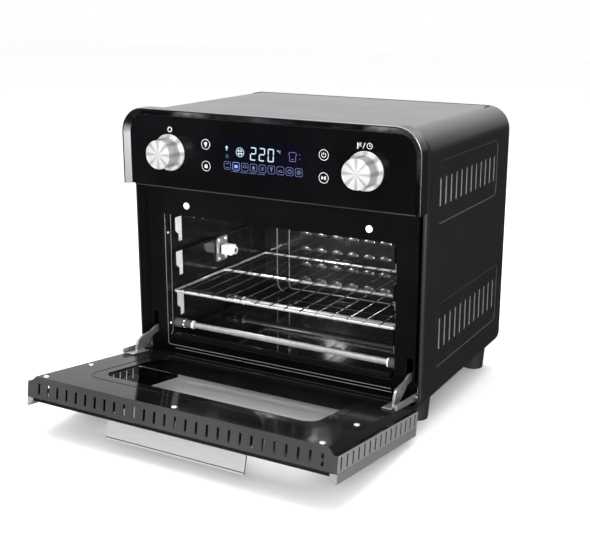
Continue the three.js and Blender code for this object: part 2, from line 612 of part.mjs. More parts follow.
// Louvred baffle in front of the fan
function makeBaffle() {
  const { sideMargin, bottomMargin, topMargin, pitchX, pitchZ, width, height } = louvre;
  const [front, back] = [baffleFront, baffleFront + cavity.baffleSheet];
  const openings = spread(-cavityHalfWidth + sideMargin, cavityHalfWidth - sideMargin, pitchX).flatMap((x) => (
    spread(cavityBottom + bottomMargin, cavityTop - topMargin, pitchZ).map((z) => (
      box(x - width / 2, x + width / 2, front - OVERRUN, back + OVERRUN, z - height / 2, z + height / 2)))));
  const corner = cavity.radius - cavity.sheet;
  const plateX = cavityHalfWidth - GAP;
  const plate = roundedShape(-plateX, plateX, cavityBottom + GAP, cavityTop - GAP, corner, corner);
  piece(oven, 'cavity_baffle', materials.enamel, cut(
    prism('y', plate, front, back), ...openings,
    rod('y', probe.radius + GAP, front - OVERRUN, back + OVERRUN, ...probePlace),
  ));
}

// Heating rods between ceramic ends on the cavity's walls
function makeHeaters() {
  const wall = cavityHalfWidth - GAP;
  const inner = wall - ceramic.length;
  const halfLength = inner + ceramic.socket;
  const bore = heater.radius + GAP;
  const insulator = [
    [bore, inner], [ceramic.radius, inner], [ceramic.radius, wall], [0, wall],
    [0, halfLength + GAP], [bore, halfLength + GAP], [bore, inner],
  ];
  for (const [name, share] of Object.entries(heaterShares)) {
    const y = cavityFront + share * cavityDepth;
    const z = name.startsWith('lower') ? cavityBottom + heater.lowRise : cavityTop - heater.highDrop;
    const tube = rod('x', heater.radius, -halfLength, halfLength, y, z);
    piece(oven, `heater_${name}`, materials.heaterSteel, tube);
    for (const [side, sign] of sides) {
      const end = turned('x', insulator, y, z, facets.rod);
      piece(oven, `heater_end_${name}_${side}`, materials.ceramic, onSide(sign, end));
    }
  }
}

// Fan on its shaft, and the motor behind the liner
function makeFan() {
  const { hubRadius, blades, bladeSheet, thickness, shaftRadius, plate } = fan;
  const back = fanFront + thickness;
  let wheel = join(
    rod('y', fanRadius, back - plate, back, 0, fanZ, facets.large),
    rod('y', hubRadius, fanFront, back, 0, fanZ, facets.medium),
    rod('y', shaftRadius, fanFront, motorFront + motor.bore, 0, fanZ),
  );
  const blade = box(-bladeSheet / 2, bladeSheet / 2, fanFront, back, hubRadius / 2, fanRadius - hubRadius / 2);
  for (let i = 0; i < blades; i += 1) {
    wheel = wheel.add(blade.rotate([0, 360 * i / blades, 0]).translate([0, 0, fanZ]));
  }
  piece(oven, 'fan_impeller', materials.satinSteel, wheel);
  const bore = shaftRadius + GAP;
  const [neck, end, floor] = [cavityBack + GAP, motorFront + motor.length, motorFront + motor.bore + GAP];
  piece(oven, 'fan_motor', materials.blackPlastic, turned('y', [
    [bore, neck], [motor.neckRadius, neck], [motor.neckRadius, motorFront], [motor.radius, motorFront],
    [motor.radius, end], [0, end], [0, floor], [bore, floor], [bore, neck],
  ], 0, fanZ, facets.medium));
}

// Lamp: its lens stands in the wall and its cup behind
function makeLamp() {
  const { lensRadius, lensThickness, cupRadius, cupDepth, wall } = lamp;
  const lensFace = cavityHalfWidth - lensThickness / 2;
  piece(oven, 'lamp_lens', materials.lens,
    rod('x', lensRadius, lensFace, lensFace + lensThickness, ...lampPlace, facets.medium));
  const near = cavityHalfWidth + cavity.sheet + GAP;
  const far = near + cupDepth;
  piece(oven, 'lamp_housing', materials.satinSteel, turned('x', [
    [cupRadius, near], [cupRadius, far], [0, far], [0, far - wall], [cupRadius - wall, far - wall],
    [cupRadius - wall, near], [cupRadius, near],
  ], ...lampPlace, facets.medium));
}

// Spit drive: its plate and turning socket inside the wall and its motor outside
function makeSpit() {
  const { plateHalfWidth, plateHalfHeight, plateThickness, shaftRadius, shaftLength } = spit;
  const { discRadius, discThickness, socket, socketDepth } = spit;
  const [y, z] = spitPlace;
  const bore = shaftRadius + GAP;
  const plateFace = cavityHalfWidth - GAP;
  const plate = roundedShape(y - plateHalfWidth, y + plateHalfWidth, z - plateHalfHeight, z + plateHalfHeight,
    plateThickness, plateThickness);
  piece(oven, 'spit_plate', materials.chrome, onSide(-1, cut(
    prism('x', plate, plateFace - plateThickness, plateFace),
    rod('x', bore, plateFace - plateThickness - OVERRUN, plateFace + OVERRUN, y, z, facets.small),
  )));
  const motorFace = cavityHalfWidth + cavity.sheet + GAP;
  const tip = plateFace - shaftLength;
  piece(oven, 'spit_socket', materials.chrome, onSide(-1, cut(
    join(
      rod('x', shaftRadius, tip, motorFace + spitMotor.bore - GAP, y, z, facets.small),
      rod('x', discRadius, tip, tip + discThickness, y, z, facets.medium),
    ),
    box(tip - OVERRUN, tip + socketDepth, y - socket, y + socket, z - socket, z + socket),
  )));
  const { halfWidth, halfHeight, length } = spitMotor;
  piece(oven, 'spit_motor', materials.satinSteel, onSide(-1, cut(
    box(motorFace, motorFace + length, y - halfWidth, y + halfWidth, z - halfHeight, z + halfHeight),
    rod('x', bore, motorFace - OVERRUN, motorFace + spitMotor.bore, y, z, facets.small),
  )));
}

// Temperature probe with its nut behind the liner
function makeProbe() {
  const nutFront = cavityBack + GAP;
  const nutBack = nutFront + probe.nutThickness;
  piece(oven, 'temperature_probe', materials.chrome, join(
    rod('y', probe.radius, cavityBack - probe.length, nutBack, ...probePlace),
    rod('y', probe.nutRadius, nutFront, nutBack, ...probePlace, facets.thin),
  ));
}

// Floor tray
function makeTray() {
  const { sideGap, frontGap, backGap, sheet, rim, lipHeight } = tray;
  const floor = cavityBottom + GAP;
  const x = cavityHalfWidth - sideGap;
  const [front, back] = [cavityFront + frontGap, baffleFront - backGap];
  piece(oven, 'floor_tray', materials.enamel, cut(
    box(-x, x, front, back, floor, floor + lipHeight),
    box(-x + rim, x - rim, front + rim, back - rim, floor + sheet, floor + lipHeight + OVERRUN),
  ));
}

// Wire rack: two side rods and three cross rods carry the wires
function makeRack() {
  const { wireRadius, rodRadius, frontGap, backGap, middleShare, sideGap, pitch } = rack;
  const [front, rear] = [cavityFront + frontGap, baffleFront - backGap];
  const middle = front + middleShare * (rear - front);
  const span = cavityHalfWidth - sideGap - rodRadius;
  const rods = [
    ...[-span, span].map((x) => rod('y', rodRadius, front, rear, x, rackZ, facets.wire)),
    ...[front, middle, rear].map((y) => rod('x', rodRadius, -span, span, y, rackZ, facets.wire)),
  ];
  const wires = spread(-span, span, pitch).map((x) => (
    rod('y', wireRadius, front - wireRadius, rear + wireRadius, x, rackZ + rodRadius, facets.thin)));
  piece(oven, 'wire_rack', materials.chrome, join(...rods, ...wires));
}

// Hinge brackets with their pins
function makeBrackets() {
  const { thickness, drop, rise, depth, web } = bracket;
  const front = doorInner + 2 * GAP;
  const [back, low, high] = [front + depth, pivotZ - drop, pivotZ + rise];
  const plate = join(
    box(bracketX, bracketX + thickness, front, back, low, high),
    box(frameHalfWidth + GAP, bracketX + thickness, back - web, back, low, high),
    rod('x', pin.radius, leafX - GAP, bracketX + thickness / 2, pivotY, pivotZ, facets.medium),
  );
  for (const [side, sign] of sides) {
    piece(oven, `hinge_bracket_${side}`, materials.satinSteel, onSide(sign, plate));
  }
}

// The door's inner plate, in its shut place: a pan with its ears, flange slots, window and lower tongue
function makeDoorPlate() {
  const { step, bendWidth, sheet, tongueHeight, tongueInset } = door;
  const panFront = doorOuter + doorGlass.thickness + GAP;
  const earFace = doorInner - step;
  const flat = doorEar - bendWidth;
  const mirrored = (points) => outline([...points, ...points.map(([x, y]) => [-x, y]).reverse()]);
  const skin = mirrored([
    [flat, doorInner], [doorEar, earFace], [doorHalfWidth, earFace], [doorHalfWidth, panFront],
  ]);
  const hollow = mirrored([
    [flat - sheet / 2, doorInner - sheet], [doorEar - sheet / 2, earFace - sheet],
    [doorHalfWidth - sheet, earFace - sheet], [doorHalfWidth - sheet, panFront - OVERRUN],
  ]);
  const windowX = doorHalfWidth - doorWindow.sideMargin;
  const [windowLow, windowHigh] = [doorBottom + doorWindow.bottomMargin, doorTop - doorWindow.topMargin];
  const opening = roundedShape(-windowX, windowX, windowLow, windowHigh, doorWindow.radius, doorWindow.radius);
  const half = flangeSlot.width / 2;
  const slotBack = doorInner - flangeSlot.inset;
  const topSlots = spread(-doorEar, doorEar, flangeSlot.pitch).map((x) => box(x - half, x + half,
    slotBack - flangeSlot.length, slotBack, doorTop - sheet - OVERRUN, doorTop + OVERRUN));
  const sideBack = earFace - flangeSlot.sideInset;
  const sideFront = sideBack - flangeSlot.sideLength;
  const sideSlots = spread(doorBottom, doorTop, flangeSlot.sidePitch).flatMap((z) => onBothSides(
    box(doorHalfWidth - sheet - OVERRUN, doorHalfWidth + OVERRUN, sideFront, sideBack, z - half, z + half)));
  const tongueX = doorHalfWidth - tongueInset;
  piece(doorGroup, 'door_inner_plate', materials.enamel, cut(
    join(
      prism('z', skin, doorBottom, doorTop),
      box(-tongueX, tongueX, doorInner - sheet, doorInner, doorBottom - tongueHeight, doorBottom + sheet / 2),
    ),
    prism('z', hollow, doorBottom + sheet, doorTop - sheet),
    prism('y', opening, doorInner - sheet - OVERRUN, doorInner + OVERRUN),
    ...topSlots, ...sideSlots,
  ));
}

// The door's two panes and the trim strips beside the outer one
function makeDoorGlass() {
  const { sideMargin, bottomMargin, topMargin, radius, lap, thickness } = doorWindow;
  const paneX = doorHalfWidth - sideMargin + lap;
  const paneBack = doorInner - door.sheet - GAP;
  const [paneLow, paneHigh] = [doorBottom + bottomMargin - lap, doorTop - topMargin + lap];
  const pane = roundedShape(-paneX, paneX, paneLow, paneHigh, radius, radius);
  piece(doorGroup, 'door_window', materials.smokedGlass, prism('y', pane, paneBack - thickness, paneBack));
  const glassX = doorHalfWidth - trim.chamfer - GAP;
  const glassRear = doorOuter + doorGlass.thickness;
  piece(doorGroup, 'door_outer_glass', materials.blackGlass,
    box(-glassX, glassX, doorOuter, glassRear, doorBottom, doorTop));
  const [inner, face] = [doorHalfWidth - trim.chamfer, doorOuter - trim.depth];
  const strip = outline([
    [inner, doorOuter], [doorHalfWidth - trim.rim, face], [doorHalfWidth, face], [doorHalfWidth, glassRear],
    [doorHalfWidth - trim.wall, glassRear], [inner, doorOuter + trim.wall],
  ]);
  for (const [side, sign] of sides) {
    const bar = prism('z', strip, doorBottom, doorTop);
    piece(doorGroup, `door_trim_${side}`, materials.bezelMetal, onSide(sign, bar));
  }
}

// The door's handle: a shelf with a leg down the glass
function makeHandle() {
  const { halfWidth, drop, reach, thickness, legHeight, legThickness, tipRise } = handle;
  const z = doorTop - drop;
  const root = doorOuter - GAP;
  const tip = root - reach;
  const profile = outline([
    [root, z - legHeight], [root, z + thickness], [tip, z + thickness + tipRise], [tip, z + tipRise],
    [root - legThickness, z], [root - legThickness, z - legHeight],
  ]);
  piece(doorGroup, 'door_handle', materials.aluminium, prism('x', profile, -halfWidth, halfWidth));
}

// The hinge leaf on each side of the door
function makeLeaves() {
  const { eyeRadius, width, height, holeGap, thickness } = leaf;
  const top = doorBottom + height;
  const far = leafX + thickness;
  const strap = outline([
    [doorSeat, top], [doorSeat, doorBottom], [pivotY - eyeRadius, pivotZ], [pivotY, pivotZ - eyeRadius],
    [pivotY + eyeRadius, pivotZ], [doorSeat + width, top],
  ]);
  const plate = cut(
    join(prism('x', strap, leafX, far), rod('x', eyeRadius, leafX, far, pivotY, pivotZ, facets.medium)),
    rod('x', pin.radius + holeGap, leafX - OVERRUN, far + OVERRUN, pivotY, pivotZ, facets.medium),
  );
  for (const [side, sign] of sides) {
    piece(doorGroup, `hinge_leaf_${side}`, materials.satinSteel, onSide(sign, plate));
  }
}

// The sickle-shaped arm on each side of the door, on its foot plate
function makeArms() {
  const { reach, thickness, footDrop, footRise, footInner, footOuter, footThickness } = arm;
  const edge = (table) => table.map(([degrees, share]) => {
    const [angle, radius] = [THREE.MathUtils.degToRad(degrees), reach * share];
    return new THREE.Vector2(pivotY + radius * Math.cos(angle), pivotZ + radius * Math.sin(angle));
  });
  const [inner, hook, outer] = [edge(armInnerShares), edge(armHookShares), edge(armOuterShares)];
  const sickle = new THREE.Shape();
  sickle.moveTo(doorSeat, inner[0].y);
  sickle.splineThru(inner.slice(1));
  hook.forEach(({ x, y }) => sickle.lineTo(x, y));
  sickle.lineTo(outer[0].x, outer[0].y);
  sickle.splineThru(outer.slice(1));
  sickle.lineTo(doorSeat, outer.at(-1).y);
  const footMiddle = pivotZ + reach;
  const plate = join(
    prism('x', sickle, armX, armX + thickness, 2),
    box(armX - footInner, armX + thickness + footOuter, doorSeat, doorSeat + footThickness,
      footMiddle - footDrop, footMiddle + footRise),
  );
  for (const [side, sign] of sides) {
    piece(doorGroup, `hinge_arm_${side}`, materials.chrome, onSide(sign, plate));
  }
}

makeShell();
makeBack();
makeCover();
makeBase();
makePanel();
makeControls();
makeFrame();
makeLiner();
makeBaffle();
makeHeaters();
makeFan();
makeLamp();
makeSpit();
makeProbe();
makeTray();
makeRack();
makeBrackets();
makeDoorPlate();
makeDoorGlass();
makeHandle();
makeLeaves();
makeArms();

// Turn the door open about its pins, then stand the whole oven over the middle of its footprint
const hinged = new THREE.Group();
doorGroup.position.set(0, -pivotY, -pivotZ);
hinged.add(doorGroup);
hinged.position.set(0, pivotY, pivotZ);
hinged.rotation.x = THREE.MathUtils.degToRad(hinge.openDegrees);
oven.add(hinged);
oven.updateMatrixWorld(true);
const bounds = new THREE.Box3().setFromObject(oven, true);
oven.position.y = -(bounds.min.y + bounds.max.y) / 2;
oven.updateMatrixWorld(true);

export default oven;
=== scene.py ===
"""Looks for an electric countertop oven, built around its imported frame.

The scene is in metres. Z is up, the front faces -Y, and the door lies open, as the frame has it at rest.
Sizes are given in millimetres and scaled by MM. Depths are measured from the front of the control bezel.
"""

import json
import math

import bmesh
import bpy
from mathutils import Matrix, Vector

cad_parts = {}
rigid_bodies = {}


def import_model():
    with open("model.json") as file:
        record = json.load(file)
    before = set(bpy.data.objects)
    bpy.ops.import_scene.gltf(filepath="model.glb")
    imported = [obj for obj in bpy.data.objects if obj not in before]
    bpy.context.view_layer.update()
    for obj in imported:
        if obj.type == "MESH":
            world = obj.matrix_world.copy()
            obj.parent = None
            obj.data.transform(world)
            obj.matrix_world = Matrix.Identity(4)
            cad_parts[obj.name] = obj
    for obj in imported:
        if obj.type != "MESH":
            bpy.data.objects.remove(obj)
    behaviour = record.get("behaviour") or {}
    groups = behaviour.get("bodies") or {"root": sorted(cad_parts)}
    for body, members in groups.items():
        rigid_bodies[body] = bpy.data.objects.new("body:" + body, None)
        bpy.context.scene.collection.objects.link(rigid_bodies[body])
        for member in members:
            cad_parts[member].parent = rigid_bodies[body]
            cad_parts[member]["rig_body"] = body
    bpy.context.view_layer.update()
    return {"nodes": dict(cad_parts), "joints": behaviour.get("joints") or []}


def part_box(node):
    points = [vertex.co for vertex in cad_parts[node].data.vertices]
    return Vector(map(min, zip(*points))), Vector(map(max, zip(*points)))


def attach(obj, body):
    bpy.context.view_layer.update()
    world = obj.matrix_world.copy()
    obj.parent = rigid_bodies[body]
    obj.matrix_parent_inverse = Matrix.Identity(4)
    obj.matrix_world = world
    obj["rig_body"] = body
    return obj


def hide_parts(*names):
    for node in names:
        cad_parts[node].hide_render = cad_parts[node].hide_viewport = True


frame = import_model()
nodes = frame["nodes"]
MM = 0.001
SIDES = (("left", -1), ("right", 1))

# Camera, fitted to the photograph: place like the sizes, angles in degrees, focal length and centre in pixels
IMAGE_WIDTH, IMAGE_HEIGHT = 590, 550
CAMERA_PLACE = (601.48, -972.09, 495.83)
CAMERA_YAW, CAMERA_PITCH, CAMERA_ROLL = 28.37, 14.47, 0.32
FOCAL_PIXELS = 1005.49
CENTRE_PIXEL = (318.48, 251.47)
SENSOR = 36.0
CLIP = (0.01, 100.0)

# Studio: area lights as place, aim, width, height and watts. The low one only fills the shadows.
FILL_LIGHTS = ("low",)
LIGHTS = {
    "key": ((0.9, -1.9, 0.9), (0.0, 0.0, 0.15), 1.0, 0.9, 20.0),
    "top": ((-0.2, 0.1, 1.8), (0.0, 0.0, 0.1), 1.8, 1.8, 30.0),
    "card": ((1.7, -1.2, 0.3), (0.0, -0.1, 0.2), 1.1, 0.8, 9.0),
    "low": ((0.1, -2.0, 0.1), (0.0, -0.15, 0.02), 2.4, 0.16, 95.0),
    "cavity": ((-0.12, 0.05, 0.2), (0.05, 0.19, 0.13), 0.03, 0.03, 0.3),
}
FLOOR_SIZE = 14.0
# The room as mirrored: its floor, its low sky, what the sky gains behind and above, the share that the right
# rear part loses, and what the right front part of the floor gains
ROOM = {"floor": 0.05, "sky": 0.5, "behind": 0.85, "above": 0.4, "shade": 0.9, "corner": 1.15}
# Where these parts fade in or out, along the components of a direction
FADES = {"horizon": (-0.02, 0.08), "behind": (0.2, 0.8), "above": (0.4, 0.8), "shade_x": (0.05, 0.45),
         "shade_y": (-0.2, 0.3), "corner_x": (0.5, 0.65), "corner_y": (0.4, 0.55), "corner_z": (-0.08, 0.02)}

# Merging, smoothing and edge easing of the CAD meshes
MERGE = 0.002
FLAT_ANGLE = math.radians(0.5)
SHARP_ANGLE = math.radians(32)
EDGE = 0.3
EASE_STEPS = 2
# Steps of a wire's bends
BEND_STEPS = 8

# Scales of the noise patterns, in features per metre
GRAIN, FINE, MARKS, SMEARS, BROAD = 2600.0, 900.0, 120.0, 9.0, 14.0
GROOVES = 6000.0
# Levels of noise between which clouds, lines, marks and smears fade in
CLOUDS, LINES, SPOTS, SMUDGES, FILM = (0.35, 0.75), (0.25, 0.75), (0.3, 0.6), (0.4, 0.8), (0.45, 0.8)
# What each pattern adds to the roughness
ROUGH = {"cloud": 0.08, "fine": 0.06, "lines": 0.05, "marks": 0.1, "film": 0.08, "haze": 0.05, "flange": 0.3}
PANE_ROUGHNESS = 0.03
# Heights of the grain of prints, coatings and rough surfaces
PRINT_GRAIN, COAT_GRAIN, ROUGH_GRAIN = 0.01, 0.02, 0.05
# Turned metal: how far its grooves lean, the range of its eight wedges of painted sheen, and the grooves'
# share of it
LEAN, PAINTED_SHEEN, GROOVE_SHARE = 1.5, (0.02, 0.22), 0.25

# Knobs: place, radii, lengths along the shaft, roundings and steps
KNOB = {"x": 131.5, "z": 307.0, "flange": 22.2, "cap": 18.2, "face": 16.2, "shaft": 3.0, "shaft_length": 9.0,
        "skirt": 3.0, "taper": 0.8, "soft": 0.7, "step": 0.2, "segments": 96}

# Vent slots of the shell's sides: first slot's depth, pitch, count, middle height and length
VENT_ROWS = ((60.08, 16.44, 12, 280.75, 35.0), (71.0, 17.0, 12, 111.25, 41.0))
# Fins behind the slots, coated light grey as a painted highlight of lit louvres
FIN = {"x": 198.1, "half_width": 2.3, "tilt": 1.1, "sheet": 0.4, "edge": 0.08}
# Pressed rims of the vent panels, coated lighter than the shell as a painted highlight: front, back, low and
# high edge
VENT_RIMS = ((51.0, 250.0, 245.0, 316.5), (59.0, 270.0, 72.0, 149.0))
RIM = {"x": 198.8, "radius": 0.9, "corner": 8.0}
# Dark line at the back of the shell's top, and its radius
TOP_DARK_LINE = ((-174.0, 264.0, 354.4), (-174.0, 286.5, 354.4), (174.0, 286.5, 354.4), (174.0, 264.0, 354.4))
TOP_DARK_LINE_RADIUS = 0.6

# Rack
RACK = {"rod": 2.0, "wire": 0.9, "wires": 14, "pitch": 21.25, "middle": 154.0, "corner": 4.0, "sides": 12}

# Cavity: plates of the guides, louvre hoods, steel lines painted as highlights on the edges of the opening,
# and pressed beads of the baffle as half width, low edge, high edge and corner
TAB = {"x": 152.45, "sheet": 0.15, "tops": (118.2, 172.0, 217.1), "front": 39.7, "tail": 46.0, "back": 53.0,
       "height": 21.0, "drop": 32.0, "corner": 4.0, "edge": 0.0375}
HOOD = {"columns": 8, "rows": 6, "pitch_x": 25.4, "pitch_z": 23.3, "z": 146.25, "width": 19.0, "height": 7.0,
        "depth": 3.0, "wall": 0.8, "steps": 12, "base": -2.4, "span": 0.98}
# The baffle's beads are coated light grey, a painted highlight of their pressed lines
BEADS = {"outer": (137.5, 62.0, 222.0, 16.0), "inner": (117.0, 70.0, 218.0, 5.0)}
BEAD_RADIUS = 0.9
# Bright steel lines painted as highlights on the opening's left and bottom edges: radius, and a bend shared
# with the top's dark line
HIGHLIGHT_WIRE, EDGE_CORNER = 0.32, 3.0
OPENING_HIGHLIGHT = ((-161.0, 29.3, 223.0), (-161.0, 29.3, 49.6), (157.0, 29.3, 49.6))
SILL_HIGHLIGHT = ((-150.0, 29.3, 45.6), (158.0, 29.3, 45.6))
WALL_HIGHLIGHT = ((-159.8, 40.0, 224.5), (-159.8, 38.0, 66.0), (-160.0, 34.0, 60.5))

# Screws and rivets: radius and height of the heads, the cross recess as shares of the head, and the domes as
# shares of its radius and height
SCREW, SMALL_SCREW, RIVET = (3.2, 1.4), (2.2, 1.0), (1.7, 1.0)
CROSS = {"reach": 0.5, "half": 0.13, "floor": 0.35}
SCREW_DOME = ((0.72, 0.93), (0.95, 0.6), (1.0, 0.0))
RIVET_DOME = ((0.0, 1.0), (0.45, 0.9), (0.8, 0.6), (1.0, 0.0))
RIVET_SIDES = 16
# Depth and height of the rivets in the cavity's left wall, and how deep they sit in it
CAVITY_RIVETS = ((34.0, 198.0), (50.0, 103.5), (34.0, 77.0), (49.0, 70.5))
RIVET_SINK = 0.3
# Screws of the spit plate as shares of its size, and of one half of the back
SPIT_SCREWS = ((-0.32, -0.38), (-0.32, 0.38), (0.32, -0.38), (0.32, 0.38))
BACK_SCREWS = ((190, 60), (190, 150), (190, 240), (190, 315), (120, 345), (40, 345))

# Heaters with their nuts and sleeves, measured from the cavity's walls
HEATER_SIDES = 32
NUT = {"radius": 5.8, "height": 2.4, "sides": 6, "from_wall": (13.0, 26.0)}
SLEEVE = {"radius": 5.2, "from_wall": 12.0, "length": 14.0, "sides": 24}
# Spit drive: the block's half width, length and start in front of the plate, its collar and its shaft
SPIT = {"half": 6.5, "length": 16.0, "collar": 5.5, "collar_length": 1.6, "shaft": 3.2, "start": 2.5}
SHAFT_SIDES, COLLAR_SIDES = 24, 48

# Door, measured shut: half width, top and inner face, where the flanges' colour starts before an edge, the
# dark line of painted shade beside the handle's tip, and the clear part of the outer pane
DOOR = {"half": 199.5, "top": 260.5, "inner": 26.3}
FLANGE_EDGE = (0.3, 0.1)
HANDLE_SHADE_LINE = {"inset": 2.6, "drop": 0.4, "radius": 0.5}
CLEAR = {"half": 131.0, "low": 56.0, "high": 206.0, "blur": 2.5}
DOOR_SCREWS = ((-178, 100), (-178, 178), (-178, 254), (178, 100), (178, 178), (178, 254), (0, 253.4))
DOOR_BEAD = {"half": 152.0, "low": 70.0, "high": 219.0, "corner": 20.0, "radius": 1.3, "sunk": 0.9}

# Prints of the control panel, in millimetres from its middle line and above the floor
PRINT_LIFT, PRINT_THICKNESS = 0.02, 0.05
DISPLAY = (-55.6, 55.6, 289.4, 328.9)
KEY_RING = (6.2, 0.6)
KEYS = {"bulb": (-79.3, 320.5), "lock": (-79.3, 294.6), "power": (79.3, 320.5), "play": (79.3, 294.6)}
KNOB_SYMBOLS = {"gear": (-131.2, 334.6), "measures": (131.2, 334.6)}
READING = "220"
SEGMENTS = {"2": "abged", "0": "abcdef"}
DIGIT = {"width": 8.2, "height": 15.4, "pitch": 11.9, "line": 1.35, "slant": 0.04, "left": -17.6,
         "low": 306.6, "cut": 0.45, "short": 0.85}
ICONS = {"first": -49.0, "pitch": 12.05, "count": 9, "lit": 1, "z": 297.8, "half": 4.6, "corner": 1.2,
         "line": 0.5}
LIT_SYMBOLS = {"unit": (20.2, 319.2), "fan": (-31.2, 314.8), "lamp": (-49.6, 317.2)}
DIM_SYMBOLS = {"ring": (-49.2, 308.8), "dots": (48.8, 318.0)}
TOAST = (39.4, 314.8)
UNDERLINES, UNDERLINE_Z = (-43.6, -31.6, -19.6, -7.6), 291.0
TEETH, BLADES = 8, 4
# Rings have a few steps and one more for every so many degrees, discs always the same number
ARC_STEPS, ARC_DEGREES, DISC_STEPS = 8, 11, 24

# Symbols as strokes: arc (x, z, radius, line, start, end), disc (x, z, radius), bar (x, z, x, z, line),
# block (x, x, z, z), chain (line, points) and fill (corners)
SYMBOLS = {
    "bulb": [("disc", 0, 0.8, 2.1), ("block", -0.9, 0.9, -2.9, -1.0)],
    "lock": [("block", -2.1, 2.1, -2.4, 0.6), ("arc", 0, 0.6, 1.7, 0.55, 0, 180)],
    "power": [("arc", 0, 0, 2.9, 0.6, 125, 415), ("block", -0.3, 0.3, 0, 3.2)],
    "play": [("fill", (-2.8, -2.2), (-2.8, 2.2), (0.4, 0)), ("block", 0.9, 1.6, -2.2, 2.2),
             ("block", 2.2, 2.9, -2.2, 2.2)],
    "gear": [("arc", 0, 0, 3.0, 0.9, 0, 360)],
    "tooth": [("bar", 2.7, 0, 3.6, 0, 1.0)],
    "measures": [("block", -10.6, -9.3, -2.9, 2.9), ("disc", -9.95, -2.6, 1.2),
                 ("block", -8.7, -5.0, 2.2, 2.9), ("block", -8.7, -5.8, 0.6, 1.2),
                 ("block", -8.7, -5.0, -1.0, -0.4), ("bar", -3.6, -3.2, -1.2, 3.2, 0.7),
                 ("arc", 4.4, 0, 3.4, 0.6, 0, 360), ("block", 4.1, 4.7, 0, 2.0),
                 ("block", 4.1, 6.2, -0.3, 0.3)],
    "unit": [("arc", 0, 1.0, 0.9, 0.4, 0, 360), ("arc", 2.8, 0, 1.5, 0.4, 50, 310)],
    "fan": [("arc", 0, 0, 5.6, 0.7, 0, 360)],
    "blade": [("fill", (0.66, 0.24), (3.85, 1.4), (1.06, 3.96), (0.39, 1.45))],
    "lamp": [("disc", 0, 2.0, 1.7), ("block", -0.7, 0.7, -1.6, 0)],
    "toast": [("chain", 0.7, (-5.4, 3.2), (-3.6, 5.2), (3.6, 5.2), (5.4, 3.2), (4.0, 1.6), (4.0, -5.0),
               (-4.0, -5.0), (-4.0, 1.6), (-5.4, 3.2)), ("bar", -1.8, -2.6, 1.8, -2.6, 0.6)],
    "dots": [("disc", 0, 0, 0.5), ("disc", 0, -4.8, 0.5)],
    "ring": [("arc", 0, 0, 1.9, 0.5, 0, 360)],
    "underline": [("block", 0, 10.2, 0, 0.5)],
    "icon_0": [("bar", -2.6, -2.2, 2.6, -2.2, 0.6), ("bar", -2.6, 2.2, 2.6, 2.2, 0.6)],
    "icon_1": [("block", -2.4, 2.4, -2.0, 1.6)],
    "icon_2": [("arc", 0, 0, 2.6, 0.6, 0, 180), ("bar", -2.8, -0.6, 2.8, -0.6, 0.6)],
    "icon_3": [("disc", 0, 0.4, 1.8), ("bar", -2.4, -2.4, 2.4, -2.4, 0.6)],
    "icon_4": [("bar", -2.2, -2.2, 2.2, 2.2, 0.6), ("bar", -2.2, 2.2, 2.2, -2.2, 0.6)],
    "icon_5": [("block", -0.6, 0.6, -2.4, 2.4), ("disc", 0, 1.6, 1.5)],
    "icon_6": [("bar", -2.6, -1.6, 2.6, -1.6, 0.6), ("arc", 0, -1.6, 2.4, 0.6, 0, 180)],
    "icon_7": [("arc", 0, 0, 2.6, 0.6, 0, 360), ("bar", 0, 0, 0, 2.0, 0.5)],
    "icon_8": [("arc", 0, 0, 2.6, 0.6, 0, 360), ("disc", 0, 0, 1.0)],
}

BEZEL_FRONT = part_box("top_bezel")[0].y
GLASS_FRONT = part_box("control_glass")[0].y
hinge = next(joint for joint in frame["joints"] if joint["name"] == "door_hinge")
PIVOT = Vector(hinge["pos_m"])
OPENING = Matrix.Rotation(math.radians(hinge["range_deg"][1]), 4, "X")
OPEN = Matrix.Translation(PIVOT) @ OPENING @ Matrix.Translation(-PIVOT)
FULL_TURN = 2 * math.pi


def metres(sizes, *names):
    """Some of the named sizes, in metres."""
    return [sizes[name] * MM for name in names]


def at(x, y, z):
    """A point given in millimetres, its depth measured from the bezel's front."""
    return Vector((x * MM, BEZEL_FRONT + y * MM, z * MM))


def on_door(x, y, z):
    """The same for a point of the shut door, swung open with it."""
    return OPEN @ at(x, y, z)


class Term:
    """A number that varies over a surface: an output socket that takes part in sums."""

    def __init__(self, graph, socket):
        self.graph, self.socket = graph, socket

    def math(self, operation, first, second=0.0):
        made = self.graph.node("ShaderNodeMath", {"operation": operation}, {0: first, 1: second})
        return Term(self.graph, made.outputs[0])

    def __add__(self, other):
        return self.math("ADD", self, other)

    def __radd__(self, other):
        return self.math("ADD", other, self)

    def __sub__(self, other):
        return self.math("SUBTRACT", self, other)

    def __rsub__(self, other):
        return self.math("SUBTRACT", other, self)

    def __mul__(self, other):
        return self.math("MULTIPLY", self, other)

    def __rmul__(self, other):
        return self.math("MULTIPLY", other, self)

    def size(self):
        return self.math("ABSOLUTE", self)

    def step(self, low, high):
        """0 below low, 1 above high, smooth between."""
        made = self.graph.node("ShaderNodeMapRange", {"interpolation_type": "SMOOTHSTEP"},
                               {"Value": self, "From Min": low, "From Max": high})
        return Term(self.graph, made.outputs["Result"])


